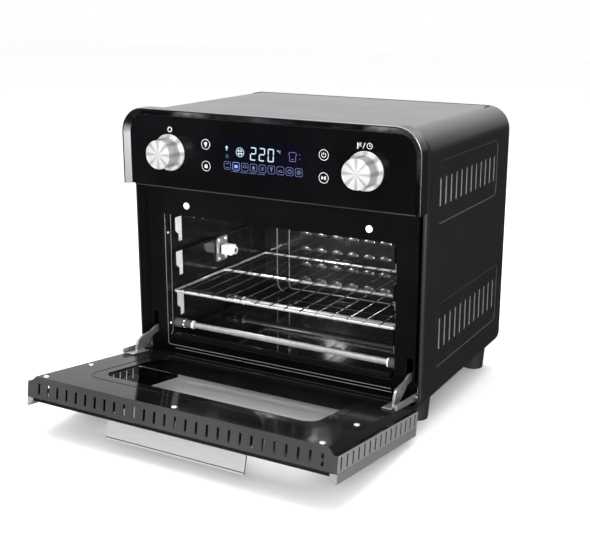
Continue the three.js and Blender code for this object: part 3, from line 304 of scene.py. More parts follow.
class Graph:
    """A node tree that is filled node by node."""

    def __init__(self, tree):
        self.tree = tree

    def node(self, kind, settings=None, sockets=None):
        """Adds a node: its settings come first, then the values or links of its sockets."""
        made = self.tree.nodes.new(kind)
        for name, value in (settings or {}).items():
            setattr(made, name, value)
        for key, value in (sockets or {}).items():
            self.feed(made.inputs[key], value)
        return made

    def feed(self, socket, value):
        """Links a socket, or gives it a constant."""
        if isinstance(value, Term):
            value = value.socket
        if isinstance(value, bpy.types.NodeSocket):
            self.tree.links.new(value, socket)
        else:
            socket.default_value = value

    def vector(self, operation, first, second=(0.0, 0.0, 0.0)):
        return self.node("ShaderNodeVectorMath", {"operation": operation}, {0: first, 1: second}).outputs[0]

    def split(self, vector):
        """The three components of a vector."""
        parts = self.node("ShaderNodeSeparateXYZ", None, {0: vector})
        return [Term(self, parts.outputs[axis]) for axis in "XYZ"]


class Finish(Graph):
    """A material on one Principled shader, with its pattern on Object coordinates."""

    def __init__(self, name, colour, **constants):
        self.material = bpy.data.materials.new(name)
        self.material.use_nodes = True
        super().__init__(self.material.node_tree)
        self.shader = self.tree.nodes["Principled BSDF"]
        self.shader.inputs["Base Color"].default_value = (*colour, 1.0)
        self.material.diffuse_color = (*colour, 1.0)
        for key, value in constants.items():
            self.shader.inputs[key.replace("_", " ").title().replace("Ior", "IOR")].default_value = value
        self.place = self.node("ShaderNodeTexCoord").outputs["Object"]

    def noise(self, scale, detail=2.0, stretch=(1.0, 1.0, 1.0)):
        """Noise from 0 to 1 with features about 1/scale metres across."""
        place = self.place
        if stretch != (1.0, 1.0, 1.0):
            place = self.vector("MULTIPLY", place, stretch)
        made = self.node("ShaderNodeTexNoise", None, {"Vector": place, "Scale": scale, "Detail": detail})
        return Term(self, made.outputs["Fac"])

    def along(self, direction, origin):
        """Distance from the origin along a direction, in millimetres."""
        made = self.node("ShaderNodeVectorMath", {"operation": "DOT_PRODUCT"}, {0: self.place, 1: direction})
        return (Term(self, made.outputs["Value"]) - Vector(direction).dot(origin)) * (1 / MM)

    def door_place(self):
        """Distance from the oven's middle plane, and height as on the shut door."""
        height = self.along(OPENING.to_3x3() @ Vector((0.0, 0.0, 1.0)), on_door(0, 0, 0))
        across = self.along((1.0, 0.0, 0.0), Vector((0.0, 0.0, 0.0))).size()
        return across, height

    def drive(self, name, value):
        self.feed(self.shader.inputs[name], value)

    def mix(self, low, high, amount):
        """A colour between two colours; each is a constant or another mix."""
        ends = {key: (*end, 1.0) if isinstance(end, tuple) else end for key, end in ((6, low), (7, high))}
        return self.node("ShaderNodeMix", {"data_type": "RGBA"}, {0: amount, **ends}).outputs[2]

    def blend(self, low, high, amount):
        self.drive("Base Color", self.mix(low, high, amount))

    def bump(self, height, distance):
        made = self.node("ShaderNodeBump", None, {"Height": height, "Distance": distance * MM})
        self.drive("Normal", made.outputs[0])


def shade(colour, share):
    return tuple(share * part for part in colour)


def coated(name, colour, lighter, roughness, grain=COAT_GRAIN, **constants):
    """Sprayed or baked coating with a fine grain and cloudy wear."""
    made = Finish(name, colour, **constants)
    cloud = made.noise(BROAD, 4.0)
    made.blend(colour, lighter, cloud.step(*CLOUDS))
    made.drive("Roughness", roughness + ROUGH["cloud"] * cloud + ROUGH["fine"] * made.noise(FINE))
    made.bump(made.noise(GRAIN, 1.0), grain)
    return made


def brushed(name, colour, darker, roughness, stretch, metallic=1.0, **constants):
    """Metal with fine lines along one direction."""
    made = Finish(name, colour, metallic=metallic, **constants)
    lines = made.noise(FINE, 3.0, stretch)
    made.blend(darker, colour, lines.step(*LINES))
    made.drive("Roughness", roughness + ROUGH["lines"] * lines)
    return made


def bright(name, colour, darker, roughness, metallic=1.0):
    """Plated or plain metal with faint handling marks."""
    made = Finish(name, colour, metallic=metallic)
    marks = made.noise(MARKS, 5.0)
    made.blend(darker, colour, marks.step(*SPOTS))
    made.drive("Roughness", roughness + ROUGH["marks"] * marks)
    return made


def gloss(name, colour, lighter, roughness, film=ROUGH["film"], **constants):
    """Glass or enamel with faint smears."""
    made = Finish(name, colour, **constants)
    smear = made.noise(SMEARS, 6.0)
    made.blend(colour, lighter, smear.step(*SMUDGES))
    made.drive("Roughness", roughness + film * smear.step(*FILM))
    return made


def spun(name, colour, darker, roughness, metallic, centre):
    """Metal turned about a line along Y through centre, with grooves in rings and wedges of painted sheen."""
    made = Finish(name, colour, metallic=metallic)
    across = made.vector("MULTIPLY", made.vector("SUBTRACT", made.place, centre), (1.0, 0.0, 1.0))
    radius = made.node("ShaderNodeVectorMath", {"operation": "LENGTH"}, {0: across}).outputs["Value"]
    groove = made.node("ShaderNodeTexNoise", {"noise_dimensions": "1D"},
                       {"W": radius, "Scale": GROOVES, "Detail": 2.0})
    depth = Term(made, groove.outputs["Fac"])
    outward = made.vector("NORMALIZE", across)
    spaces = {"vector_type": "VECTOR", "convert_from": "OBJECT", "convert_to": "WORLD"}
    turned = made.node("ShaderNodeVectorTransform", spaces, {0: outward})
    lean = made.node("ShaderNodeVectorMath", {"operation": "SCALE"},
                     {0: turned.outputs[0], "Scale": (depth - 0.5) * LEAN})
    normal = made.node("ShaderNodeNewGeometry").outputs["Normal"]
    made.drive("Normal", made.vector("NORMALIZE", made.vector("ADD", normal, lean.outputs[0])))
    level, _, upright = made.split(outward)
    # Painted sheen: eight bright wedges round the axis, blended into the colour over the darker metal
    painted_sheen = (level * upright * (level * level - upright * upright)).size().step(*PAINTED_SHEEN)
    made.blend(darker, colour, painted_sheen * (1.0 - GROOVE_SHARE + GROOVE_SHARE * depth))
    made.drive("Roughness", roughness + ROUGH["marks"] * made.noise(MARKS))
    return made


def glowing(name, colour, strength):
    """Lit segments of the display or the lamp's lens, a little uneven."""
    made = Finish(name, shade(colour, 0.1), roughness=0.4, emission_strength=strength)
    made.drive("Emission Color", made.mix(colour, shade(colour, 0.8), made.noise(FINE)))
    return made


def door_enamel(name, face, front, side, roughness):
    """Black enamel on the door's face, satin grey on its front flange, and lighter grey as painted light on
    its side flanges.
    """
    made = Finish(name, face, specular_ior_level=0.06)
    across, height = made.door_place()
    cloud = made.noise(BROAD, 4.0).step(0.3, 0.7)
    tone = made.mix(shade(front, 0.8), front, cloud)
    start, end = FLANGE_EDGE
    at_front = height.step(DOOR["top"] - start, DOOR["top"] - end)
    at_side = across.step(DOOR["half"] - start, DOOR["half"] - end)
    black = made.mix(face, shade(face, 1.5), cloud)
    # Painted light: the side flanges get a lighter grey than the front flange
    made.blend(made.mix(black, tone, at_front), side, at_side)
    made.drive("Roughness", roughness + ROUGH["flange"] * (at_front + at_side) + ROUGH["haze"] * cloud)
    return made


def smoked(name, colour, lighter, cover, clear=None):
    """Smoked glass that covers a share of what is behind it; outside the clear part it is printed black."""
    made = gloss(name, colour, lighter, PANE_ROUGHNESS, ROUGH["haze"], specular_ior_level=0.5, alpha=cover)
    if clear:
        across, height = made.door_place()
        half, low, high, blur = (clear[key] for key in ("half", "low", "high", "blur"))
        inside = height.step(low, low + blur) * (1.0 - height.step(high, high + blur))
        inside = inside * (1.0 - across.step(half, half + blur))
        made.drive("Alpha", 1.0 - (1.0 - cover) * inside)
    return made


finishes = {
    "charcoal": coated("charcoal_coating", (0.007, 0.007, 0.008), (0.010, 0.010, 0.011), 0.24),
    # Painted highlight: the vent rims are coated lighter than the shell
    "rim": coated("charcoal_edge", (0.02, 0.02, 0.021), (0.028, 0.028, 0.029), 0.3),
    # Painted highlight: the vent fins are coated far lighter than the shell
    "fin": coated("vent_fin", (0.15, 0.15, 0.155), (0.19, 0.19, 0.195), 0.4),
    "trim": brushed("satin_trim", (0.34, 0.34, 0.345), (0.3, 0.3, 0.305), 0.15, (0.1, 1.0, 1.0),
                    specular_tint=(0.45, 0.45, 0.45, 1.0)),
    "panel_glass": gloss("panel_glass", (0.0012, 0.0012, 0.0015), (0.0024, 0.0024, 0.003), 0.04,
                         specular_ior_level=0.12),
    "window_glass": smoked("window_glass", (0.004, 0.004, 0.0045), (0.008, 0.008, 0.008), 0.06),
    "outer_glass": smoked("outer_glass", (0.003, 0.003, 0.0035), (0.006, 0.006, 0.006), 0.06, CLEAR),
    "enamel": gloss("black_enamel", (0.004, 0.004, 0.0045), (0.007, 0.007, 0.007), 0.05,
                    specular_ior_level=0.3),
    # The door's side flanges are given a lighter grey than its front flange, as painted light
    "door_enamel": door_enamel("door_enamel", (0.004, 0.004, 0.0045), (0.023, 0.022, 0.0225),
                               (0.14, 0.14, 0.14), 0.06),
    "door_side": coated("door_side_coating", (0.1, 0.1, 0.1), (0.12, 0.12, 0.12), 0.36),
    "frame_coat": coated("frame_coating", (0.0015, 0.0015, 0.0017), (0.0025, 0.0025, 0.0025), 0.3,
                         specular_ior_level=0.08),
    "liner": gloss("liner_enamel", (0.006, 0.006, 0.0065), (0.010, 0.010, 0.010), 0.12),
    "hood": gloss("hood_enamel", (0.02, 0.02, 0.0205), (0.03, 0.03, 0.03), 0.26, specular_ior_level=1.0),
    # Painted highlight: the baffle's beads are coated far lighter than its black enamel
    "bead": gloss("bead_enamel", (0.12, 0.12, 0.121), (0.15, 0.15, 0.151), 0.1, specular_ior_level=1.0),
    "sheet_steel": brushed("zinc_sheet", (0.5, 0.5, 0.5), (0.38, 0.38, 0.38), 0.3, (0.15, 1.0, 1.0)),
    "hinge_steel": bright("hinge_steel", (0.56, 0.555, 0.54), (0.5, 0.495, 0.485), 0.24, 0.85),
    "tab_steel": bright("tab_steel", (0.92, 0.92, 0.91), (0.8, 0.8, 0.79), 0.3, 0.5),
    "handle": brushed("handle_metal", (0.36, 0.36, 0.36), (0.33, 0.33, 0.33), 0.34, (0.06, 1.0, 1.0), 0.6),
    "chrome": bright("rack_plating", (0.9, 0.9, 0.89), (0.8, 0.8, 0.79), 0.14, 0.8),
    "wire": bright("rack_wire", (0.2, 0.2, 0.198), (0.15, 0.15, 0.148), 0.2, 0.95),
    "heater": bright("heater_tube", (0.46, 0.455, 0.45), (0.38, 0.375, 0.37), 0.35, 0.7),
    "ceramic": coated("ceramic", (0.03, 0.029, 0.027), (0.05, 0.048, 0.045), 0.6, ROUGH_GRAIN),
    "plastic": coated("black_plastic", (0.012, 0.012, 0.0125), (0.02, 0.02, 0.02), 0.48, ROUGH_GRAIN),
    "bumper": coated("bumper_rubber", (0.85, 0.84, 0.81), (0.78, 0.77, 0.74), 0.55),
    "board": coated("board_mask", (0.012, 0.06, 0.03), (0.02, 0.08, 0.04), 0.4),
    "lens": glowing("lamp_lens", (1.0, 0.98, 0.94), 130.0),
    "print": coated("panel_print", (0.38, 0.38, 0.385), (0.31, 0.31, 0.315), 0.6, PRINT_GRAIN),
    "window_print": gloss("display_window", (0.001, 0.0011, 0.0024), (0.0013, 0.0016, 0.0034), 0.05,
                          specular_ior_level=0.12),
    "digits": glowing("lit_digits", (0.62, 0.8, 1.0), 0.85),
    "icons": glowing("dim_icons", (0.3, 0.34, 0.72), 0.36),
    "toast": glowing("toast_icon", (0.26, 0.2, 0.6), 0.5),
    "bright_icon": glowing("lit_icon", (0.3, 0.42, 1.0), 0.9),
}
# The knobs' turned metal, each with painted sheen in wedges round its own axis
for side, sign in SIDES:
    finishes[f"spun_{side}"] = spun(f"spun_metal_{side}", (0.6, 0.6, 0.6), (0.33, 0.33, 0.33), 0.25, 0.6,
                                    (sign * KNOB["x"] * MM, 0.0, KNOB["z"] * MM))


def placed(name, mesh, finish, body, slot, *stands_for):
    """Puts a mesh into the scene as a piece that rides on a body."""
    made = bpy.data.objects.new(name, mesh)
    bpy.context.scene.collection.objects.link(made)
    mesh.materials.clear()
    mesh.materials.append(finishes[finish].material)
    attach(made, body)
    if stands_for:
        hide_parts(*stands_for)


def baked(source):
    """The mesh of an object with its modifiers applied. The object itself goes."""
    bpy.context.view_layer.update()
    mesh = bpy.data.meshes.new_from_object(source.evaluated_get(bpy.context.evaluated_depsgraph_get()))
    bpy.data.objects.remove(source)
    return mesh


def smoothed(mesh):
    mesh.shade_smooth()
    mesh.set_sharp_from_angle(angle=SHARP_ANGLE)
    return mesh


def mesh_of(shape):
    """A bmesh turned into a mesh, its normals outward."""
    bmesh.ops.recalc_face_normals(shape, faces=shape.faces)
    mesh = bpy.data.meshes.new("shape")
    shape.to_mesh(mesh)
    shape.free()
    return mesh


def carrier(mesh):
    """A loose object that holds a mesh while its modifiers run."""
    made = bpy.data.objects.new("carrier", mesh)
    bpy.context.scene.collection.objects.link(made)
    return made


def eased(mesh, width=EDGE):
    """The mesh with its sharp edges eased by a small bevel, its flat faces kept flat in the light."""
    holder = carrier(smoothed(mesh))
    bevel = holder.modifiers.new("ease", "BEVEL")
    bevel.width, bevel.segments = width * MM, EASE_STEPS
    bevel.limit_method, bevel.angle_limit = "ANGLE", SHARP_ANGLE
    bevel.use_clamp_overlap = True
    weigh = holder.modifiers.new("weigh", "WEIGHTED_NORMAL")
    weigh.keep_sharp = True
    return baked(holder)


def dressed(node, finish, slot):
    """A merged copy of a CAD node with eased edges and smooth curves, in its place."""
    shape = bmesh.new()
    shape.from_mesh(nodes[node].data)
    bmesh.ops.remove_doubles(shape, verts=shape.verts, dist=MERGE * MM)
    bmesh.ops.dissolve_limit(shape, angle_limit=FLAT_ANGLE, verts=shape.verts, edges=shape.edges)
    placed(f"{node}_skin", eased(mesh_of(shape)), finish, nodes[node]["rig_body"], slot, node)


def skin(shape, rings):
    """A closed skin over rings of points; a ring of one point is a tip."""
    rings = [[shape.verts.new(point) for point in ring] for ring in rings]
    for low, high in zip(rings, rings[1:]):
        for i in range(max(len(low), len(high))):
            j = i + 1
            corners = [low[i % len(low)], low[j % len(low)], high[j % len(high)], high[i % len(high)]]
            shape.faces.new(list(dict.fromkeys(corners)))
    for end in (rings[0], rings[-1]):
        if len(end) > 1:
            shape.faces.new(end)


def lofted(rings):
    """A smooth closed mesh over rings of points."""
    shape = bmesh.new()
    skin(shape, rings)
    return smoothed(mesh_of(shape))


def slabs(plates):
    """A mesh of closed plates, each a flat outline and the offset to its other face."""
    shape = bmesh.new()
    for corners, offset in plates:
        skin(shape, [corners, [Vector(corner) + Vector(offset) for corner in corners]])
    return mesh_of(shape)


def rectangle(x0, x1, z0, z1):
    return [(x0, z0), (x1, z0), (x1, z1), (x0, z1)]


def evenly(count, pitch):
    """Places at one pitch, centred on 0."""
    return [(i - (count - 1) / 2) * pitch for i in range(count)]


def polygon(centre, radius, count, along=0):
    """Corners of a regular polygon that faces along one axis, in metres; without a radius, its centre."""
    corners = []
    for i in range(count if radius else 1):
        corner = Vector(centre)
        corner[(along + 1) % 3] += radius * math.cos(FULL_TURN * i / count)
        corner[(along + 2) % 3] += radius * math.sin(FULL_TURN * i / count)
        corners.append(corner)
    return corners


def lathe(profile, centre, segments):
    """Turns a profile of (radius, depth) pairs about a line along Y through centre (x, z), all in metres."""
    x, z = centre
    return lofted([polygon((x, depth, z), radius, segments, 1) for radius, depth in profile])


def new_tree(name, inputs):
    """A Geometry Nodes tree with named inputs: its graph, what it is given, and its inputs' identifiers."""
    tree = bpy.data.node_groups.new(name, "GeometryNodeTree")
    for way in ("INPUT", "OUTPUT"):
        tree.interface.new_socket("Geometry", in_out=way, socket_type="NodeSocketGeometry")
    identifiers = {}
    for label, kind in inputs.items():
        socket = tree.interface.new_socket(label, in_out="INPUT", socket_type=f"NodeSocket{kind}")
        identifiers[label] = socket.identifier
    graph = Graph(tree)
    return graph, graph.node("NodeGroupInput").outputs, identifiers


def close_tree(graph, geometry, finish):
    """Ends a tree with real geometry in its finish."""
    real = graph.node("GeometryNodeRealizeInstances", None, {0: geometry})
    painted = graph.node("GeometryNodeSetMaterial", None, {"Geometry": real.outputs[0], "Material": finish})
    graph.node("NodeGroupOutput", None, {0: painted.outputs[0]})


def run_tree(mesh, tree, identifiers, values):
    """Runs a tree on a mesh with these values for its inputs, and returns the plain mesh."""
    holder = carrier(mesh)
    modifier = holder.modifiers.new("repeat", "NODES")
    modifier.node_group = tree
    for name, value in values.items():
        modifier[identifiers[name]] = value
    return baked(holder)


def wire_tree():
    """Round wire along every line of the mesh, with bends of one radius."""
    graph, given, identifiers = new_tree("wires", {"Radius": "Float", "Bend": "Float", "Sides": "Int",
                                                   "Finish": "Material"})
    lines = graph.node("GeometryNodeMeshToCurve", None, {"Mesh": given["Geometry"]})
    bent = graph.node("GeometryNodeFilletCurve", {"mode": "POLY"},
                      {"Curve": lines.outputs[0], "Radius": given["Bend"], "Limit Radius": True,
                       "Count": BEND_STEPS})
    ring = graph.node("GeometryNodeCurvePrimitiveCircle", None,
                      {"Radius": given["Radius"], "Resolution": given["Sides"]})
    tube = graph.node("GeometryNodeCurveToMesh", None,
                      {"Curve": bent.outputs[0], "Profile Curve": ring.outputs[0], "Fill Caps": True})
    close_tree(graph, tube.outputs[0], given["Finish"])
    return graph.tree, identifiers


def copy_tree():
    """One copy of an object on every point of the mesh, facing as the point says and turned by chance."""
    graph, given, identifiers = new_tree("copies", {"Item": "Object", "Seed": "Int", "Turn": "Float",
                                                    "Finish": "Material"})
    facing = graph.node("GeometryNodeInputNamedAttribute", {"data_type": "FLOAT_VECTOR"}, {"Name": "facing"})
    align = graph.node("FunctionNodeAlignRotationToVector", {"axis": "Z"}, {"Vector": facing.outputs[0]})
    chance = graph.node("FunctionNodeRandomValue", {"data_type": "FLOAT"},
                        {"Seed": given["Seed"], 3: given["Turn"]})
    spin = graph.node("FunctionNodeAxisAngleToRotation", None,
                      {"Axis": (0.0, 0.0, 1.0), "Angle": chance.outputs[1]})
    turn = graph.node("FunctionNodeRotateRotation", {"rotation_space": "LOCAL"},
                      {"Rotation": align.outputs[0], "Rotate By": spin.outputs[0]})
    item = graph.node("GeometryNodeObjectInfo", None, {"Object": given["Item"]})
    each = graph.node("GeometryNodeInstanceOnPoints", None,
                      {"Points": given["Geometry"], "Instance": item.outputs["Geometry"],
                       "Rotation": turn.outputs[0]})
    close_tree(graph, each.outputs[0], given["Finish"])
    return graph.tree, identifiers


WIRES, COPIES = wire_tree(), copy_tree()


def wires(name, paths, radius, finish, body, slot, *stands_for, bend=0.0, sides=16, closed=False):
    """A piece of round wires along paths of points; radius and bend are in millimetres."""
    mesh = bpy.data.meshes.new(name)
    corners = [tuple(point) for path in paths for point in path]
    edges, start = [], 0
    for path in paths:
        edges += [(start + i, start + i + 1) for i in range(len(path) - 1)]
        if closed:
            edges.append((start + len(path) - 1, start))
        start += len(path)
    mesh.from_pydata(corners, edges, [])
    values = {"Radius": radius * MM, "Bend": bend * MM, "Sides": sides, "Finish": finishes[finish].material}
    placed(name, smoothed(run_tree(mesh, *WIRES, values)), finish, body, slot, *stands_for)


def copies(name, places, item, finish, body, slot, turn=0.0, seed=1):
    """A piece of equal copies at these (point, facing) places, each turned by up to turn."""
    mesh = bpy.data.meshes.new(name)
    mesh.from_pydata([tuple(point) for point, _ in places], [], [])
    attribute = mesh.attributes.new("facing", "FLOAT_VECTOR", "POINT")
    for row, (_, facing) in zip(attribute.data, places):
        row.vector = facing
    holder = carrier(item)
    values = {"Item": holder, "Seed": seed, "Turn": turn, "Finish": finishes[finish].material}
    made = run_tree(mesh, *COPIES, values)
    bpy.data.objects.remove(holder)
    placed(name, smoothed(made), finish, body, slot)


def screw_head(radius, height):
    """A pan head with a cross recess, its seat at the origin and facing +Z, from a size in millimetres."""
    radius, height = radius * MM, height * MM
    reach, half = CROSS["reach"] * radius, CROSS["half"] * radius
    cross = [Matrix.Rotation(quarter * math.pi / 2, 2) @ Vector(corner)
             for quarter in range(4) for corner in ((reach, -half), (reach, half), (half, half))]
    levels = [[(*point, share * height) for point in cross] for share in (CROSS["floor"], 1.0)]
    levels += [[(*(point.normalized() * spread * radius), share * height) for point in cross]
               for spread, share in SCREW_DOME]
    return lofted(levels)


def rivet_head(radius, height):
    """A domed head, its seat at the origin and facing +Z, from a size in millimetres."""
    return lofted([polygon((0, 0, share * height * MM), spread * radius * MM, RIVET_SIDES, 2)
                   for spread, share in RIVET_DOME])


# Finish and slot of the CAD nodes that keep their shape: sheet metal, glass and mouldings. A star stands
# for left and right.
DRESS = {
    ("charcoal", "charcoal_shell"): "outer_shell rear_panel rear_cover",
    ("trim", "bezel"): "top_bezel",
    ("door_side", "bezel"): "door_trim_*",
    ("frame_coat", "enamel"): "front_frame",
    ("liner", "enamel"): "cavity_liner cavity_baffle",
    ("enamel", "enamel"): "floor_tray",
    ("door_enamel", "enamel"): "door_inner_plate",
    ("window_glass", "smoked_glass"): "door_window",
    ("outer_glass", "black_glass"): "door_outer_glass",
    ("panel_glass", "black_glass"): "control_glass",
    ("handle", "aluminium"): "door_handle",
    ("sheet_steel", "satin_steel"): "base_plate fan_impeller lamp_housing spit_motor",
    ("hinge_steel", "satin_steel"): "hinge_bracket_* hinge_leaf_* hinge_arm_*",
    ("hinge_steel", "chrome"): "spit_plate",
    ("chrome", "chrome"): "temperature_probe",
    ("plastic", "black_plastic"): "control_housing cord_gland foot_front_* foot_rear_*",
    ("bumper", "bumper"): "bumper_*",
    ("lens", "lens"): "lamp_lens",
}
for (finish, slot), names in DRESS.items():
    for name in names.split():
        for node in sorted({name.replace("*", side) for side, _ in SIDES}):
            dressed(node, finish, slot)

# Inner nodes that are right as they are and only need their finish
HEATERS = ("lower_front", "lower_rear", "upper_front", "upper_rear")
PAINT = {"control_board": "board", "display_module": "plastic", "encoder_left": "plastic",
         "encoder_right": "plastic", "fan_motor": "sheet_steel"}
for place in HEATERS:
    for side, _ in SIDES:
        PAINT[f"heater_end_{place}_{side}"] = "ceramic"
for node, finish in PAINT.items():
    nodes[node].data.materials.clear()
    nodes[node].data.materials.append(finishes[finish].material)


def make_heaters():
    """Round rods in the CAD rods' places, each with nuts at its ends and a sleeve at the left one."""
    nuts, sleeves = [], []
    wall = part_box("cavity_baffle")[1].x
    for place in HEATERS:
        low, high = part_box(f"heater_{place}")
        middle = (low + high) / 2
        ends = [(low.x, middle.y, middle.z), (high.x, middle.y, middle.z)]
        wires(f"heater_{place}_tube", [ends], (high.z - low.z) / 2 / MM, "heater", "body", "heater_tube",
              f"heater_{place}", sides=HEATER_SIDES)
        start = wall - SLEEVE["from_wall"] * MM
        end = start - SLEEVE["length"] * MM
        sleeves.append([(-start, middle.y, middle.z), (-end, middle.y, middle.z)])
        nuts += [(Vector((inset * MM - wall, middle.y, middle.z)), (1, 0, 0)) for inset in NUT["from_wall"]]
        nuts.append((Vector((start, middle.y, middle.z)), (-1, 0, 0)))
    wires("heater_sleeves", sleeves, SLEEVE["radius"], "ceramic", "body", "ceramic",
          sides=SLEEVE["sides"])
    radius, height = metres(NUT, "radius", "height")
    nut = slabs([(polygon((0, 0, 0), radius, NUT["sides"], 2), (0, 0, height))])
    copies("heater_nuts", nuts, eased(nut), "tab_steel", "body", "satin_steel", math.pi, 5)


def make_rack():
    """The rack's rim, middle bar and wires."""
    low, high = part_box("wire_rack")
    rod = RACK["rod"] * MM
    side, front, rear, z = high.x - rod, low.y + rod, high.y - rod, low.z + rod
    rim = [(x, y, z) for x, y in rectangle(-side, side, front, rear)]
    wires("rack_rim", [rim], RACK["rod"], "chrome", "rack", "chrome", "wire_rack", bend=RACK["corner"],
          closed=True)
    middle = at(0, RACK["middle"], 0).y
    wires("rack_bar", [[(-side, middle, z), (side, middle, z)]], RACK["rod"], "chrome", "rack", "chrome")
    rows = [[(x * MM, low.y, z + rod), (x * MM, high.y, z + rod)]
            for x in evenly(RACK["wires"], RACK["pitch"])]
    wires("rack_wires", rows, RACK["wire"], "wire", "rack", "chrome", sides=RACK["sides"])


def make_knob(side, sign):
    """A turned knob with its flange, skirt, rim and face."""
    low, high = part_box(f"knob_{side}")
    face_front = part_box(f"knob_face_{side}")[0].y
    x, z, flange, cap, face, shaft = metres(KNOB, "x", "z", "flange", "cap", "face", "shaft")
    length, height, taper, soft, step = metres(KNOB, "shaft_length", "skirt", "taper", "soft", "step")
    seat = high.y - length
    skirt = seat - height
    profile = [
        (0, high.y), (shaft, high.y), (shaft, seat), (flange - soft, seat), (flange, seat - soft),
        (flange, skirt + soft), (flange - soft, skirt), (cap + soft, skirt), (cap, skirt - soft),
        (cap - taper, low.y + soft), (cap - taper - step, low.y + step), (cap - taper - soft, low.y),
        (face + step, low.y), (face, low.y + step), (face, face_front + step), (face - 2 * step, face_front),
        (0, face_front),
    ]
    turned = lathe(profile, (sign * x, z), KNOB["segments"])
    placed(f"knob_{side}_turned", turned, f"spun_{side}", f"{side}_knob", "aluminium", f"knob_{side}",
           f"knob_face_{side}")


def make_fins():
    """Slanted fins behind the vent slots of both sides, coated light grey as a painted highlight."""
    half, tilt, sheet = metres(FIN, "half_width", "tilt", "sheet")
    for row, (first, pitch, count, z, length) in enumerate(VENT_ROWS):
        end = length / 2 * MM
        outline = [(-end, -half, -tilt), (end, -half, -tilt), (end, half, 0), (-end, half, 0)]
        fin = slabs([(outline, (0, 0, -sheet))])
        places = [(at(sign * FIN["x"], first + i * pitch, z), (sign, 0, 0))
                  for _, sign in SIDES for i in range(count)]
        copies(f"vent_fins_{row}", places, eased(fin, FIN["edge"]), "fin", "body", "charcoal_shell")


def make_hoods():
    """A pressed hood over every louvre of the baffle, open below."""
    width, height, depth, wall, base = metres(HOOD, "width", "height", "depth", "wall", "base")
    steps = HOOD["steps"]
    turns = [math.pi / 2 * i / steps for i in range(steps + 1)]
    section = [(height * math.sin(a), depth * math.cos(a)) for a in turns]
    section += [((height - wall) * math.sin(a), (depth - wall) * math.cos(a)) for a in reversed(turns)]
    rings = []
    for i in range(2 * steps + 1):
        share = HOOD["span"] * (i / steps - 1)
        scale = math.sqrt(1 - share * share)
        rings.append([(share * width / 2, scale * y + base, scale * z) for y, z in section])
    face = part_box("cavity_baffle")[0].y
    places = [(Vector((x * MM, face, (HOOD["z"] + z) * MM)), (0, -1, 0))
              for x in evenly(HOOD["columns"], HOOD["pitch_x"])
              for z in evenly(HOOD["rows"], HOOD["pitch_z"])]
    copies("louvre_hoods", places, lofted(rings), "hood", "body", "enamel")


def make_beads():
    """The pressed beads of the baffle, coated lighter than it as painted highlights, and of the door."""
    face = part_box("cavity_baffle")[0].y
    for name, (half, low, high, corner) in BEADS.items():
        path = [Vector((x * MM, face, z * MM)) for x, z in rectangle(-half, half, low, high)]
        wires(f"baffle_bead_{name}", [path], BEAD_RADIUS, "bead", "body", "enamel", bend=corner, closed=True)
    half, depth = DOOR_BEAD["half"], DOOR["inner"] - DOOR_BEAD["sunk"]
    path = [on_door(x, depth, z) for x, z in rectangle(-half, half, DOOR_BEAD["low"], DOOR_BEAD["high"])]
    wires("door_bead", [path], DOOR_BEAD["radius"], "door_enamel", "door", "enamel", bend=DOOR_BEAD["corner"],
          closed=True)


def make_edges():
    """Painted highlight lines on the opening's edges, lighter rims round the vent panels, and the top's dark
    line.
    """
    edges = [[at(*point) for point in path] for path in (OPENING_HIGHLIGHT, SILL_HIGHLIGHT, WALL_HIGHLIGHT)]
    # Bright steel lines painted as highlights along the opening's left and bottom edges
    wires("opening_edges", edges, HIGHLIGHT_WIRE, "hinge_steel", "body", "satin_steel", bend=EDGE_CORNER)
    rims = [[at(sign * RIM["x"], y, z) for y, z in rectangle(*rim)] for _, sign in SIDES for rim in VENT_RIMS]
    wires("vent_rims", rims, RIM["radius"], "rim", "body", "charcoal_shell", bend=RIM["corner"], closed=True)
    back_line = [at(*point) for point in TOP_DARK_LINE]
    wires("top_seam", [back_line], TOP_DARK_LINE_RADIUS, "plastic", "body", "black_plastic", bend=EDGE_CORNER)


def make_handle_shade_line():
    """A dark line of painted shade along the handle's lip, beside its folded tip."""
    handle = nodes["door_handle"]
    shut = OPEN.inverted() @ handle.matrix_world
    points = [shut @ vertex.co for vertex in handle.data.vertices]
    tip = min(point.y for point in points)
    top = max(point.z for point in points if point.y < tip + MM)
    half = max(point.x for point in points)
    depth, height = tip + HANDLE_SHADE_LINE["inset"] * MM, top - HANDLE_SHADE_LINE["drop"] * MM
    ends = [OPEN @ Vector((x, depth, height)) for x in (-half, half)]
    # A black wire stands for painted shade along the handle's lip
    wires("handle_seam", [ends], HANDLE_SHADE_LINE["radius"], "plastic", "door", "black_plastic")


def make_spit():
    """The square block of the spit drive with its shaft and collar."""
    low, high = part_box("spit_socket")
    middle = (low + high) / 2
    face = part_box("spit_plate")[1].x
    half, shaft, collar = metres(SPIT, "half", "shaft", "collar")
    start, length, edge = metres(SPIT, "start", "length", "collar_length")
    square = [(face + start, middle.y + y, middle.z + z) for y, z in rectangle(-half, half, -half, half)]
    plates = [
        (square, (length, 0, 0)),
        (polygon((face, middle.y, middle.z), shaft, SHAFT_SIDES), (high.x - face, 0, 0)),
        (polygon((high.x, middle.y, middle.z), collar, COLLAR_SIDES), (-edge, 0, 0)),
    ]
    placed("spit_block", eased(slabs(plates)), "tab_steel", "spit", "chrome", "spit_socket")


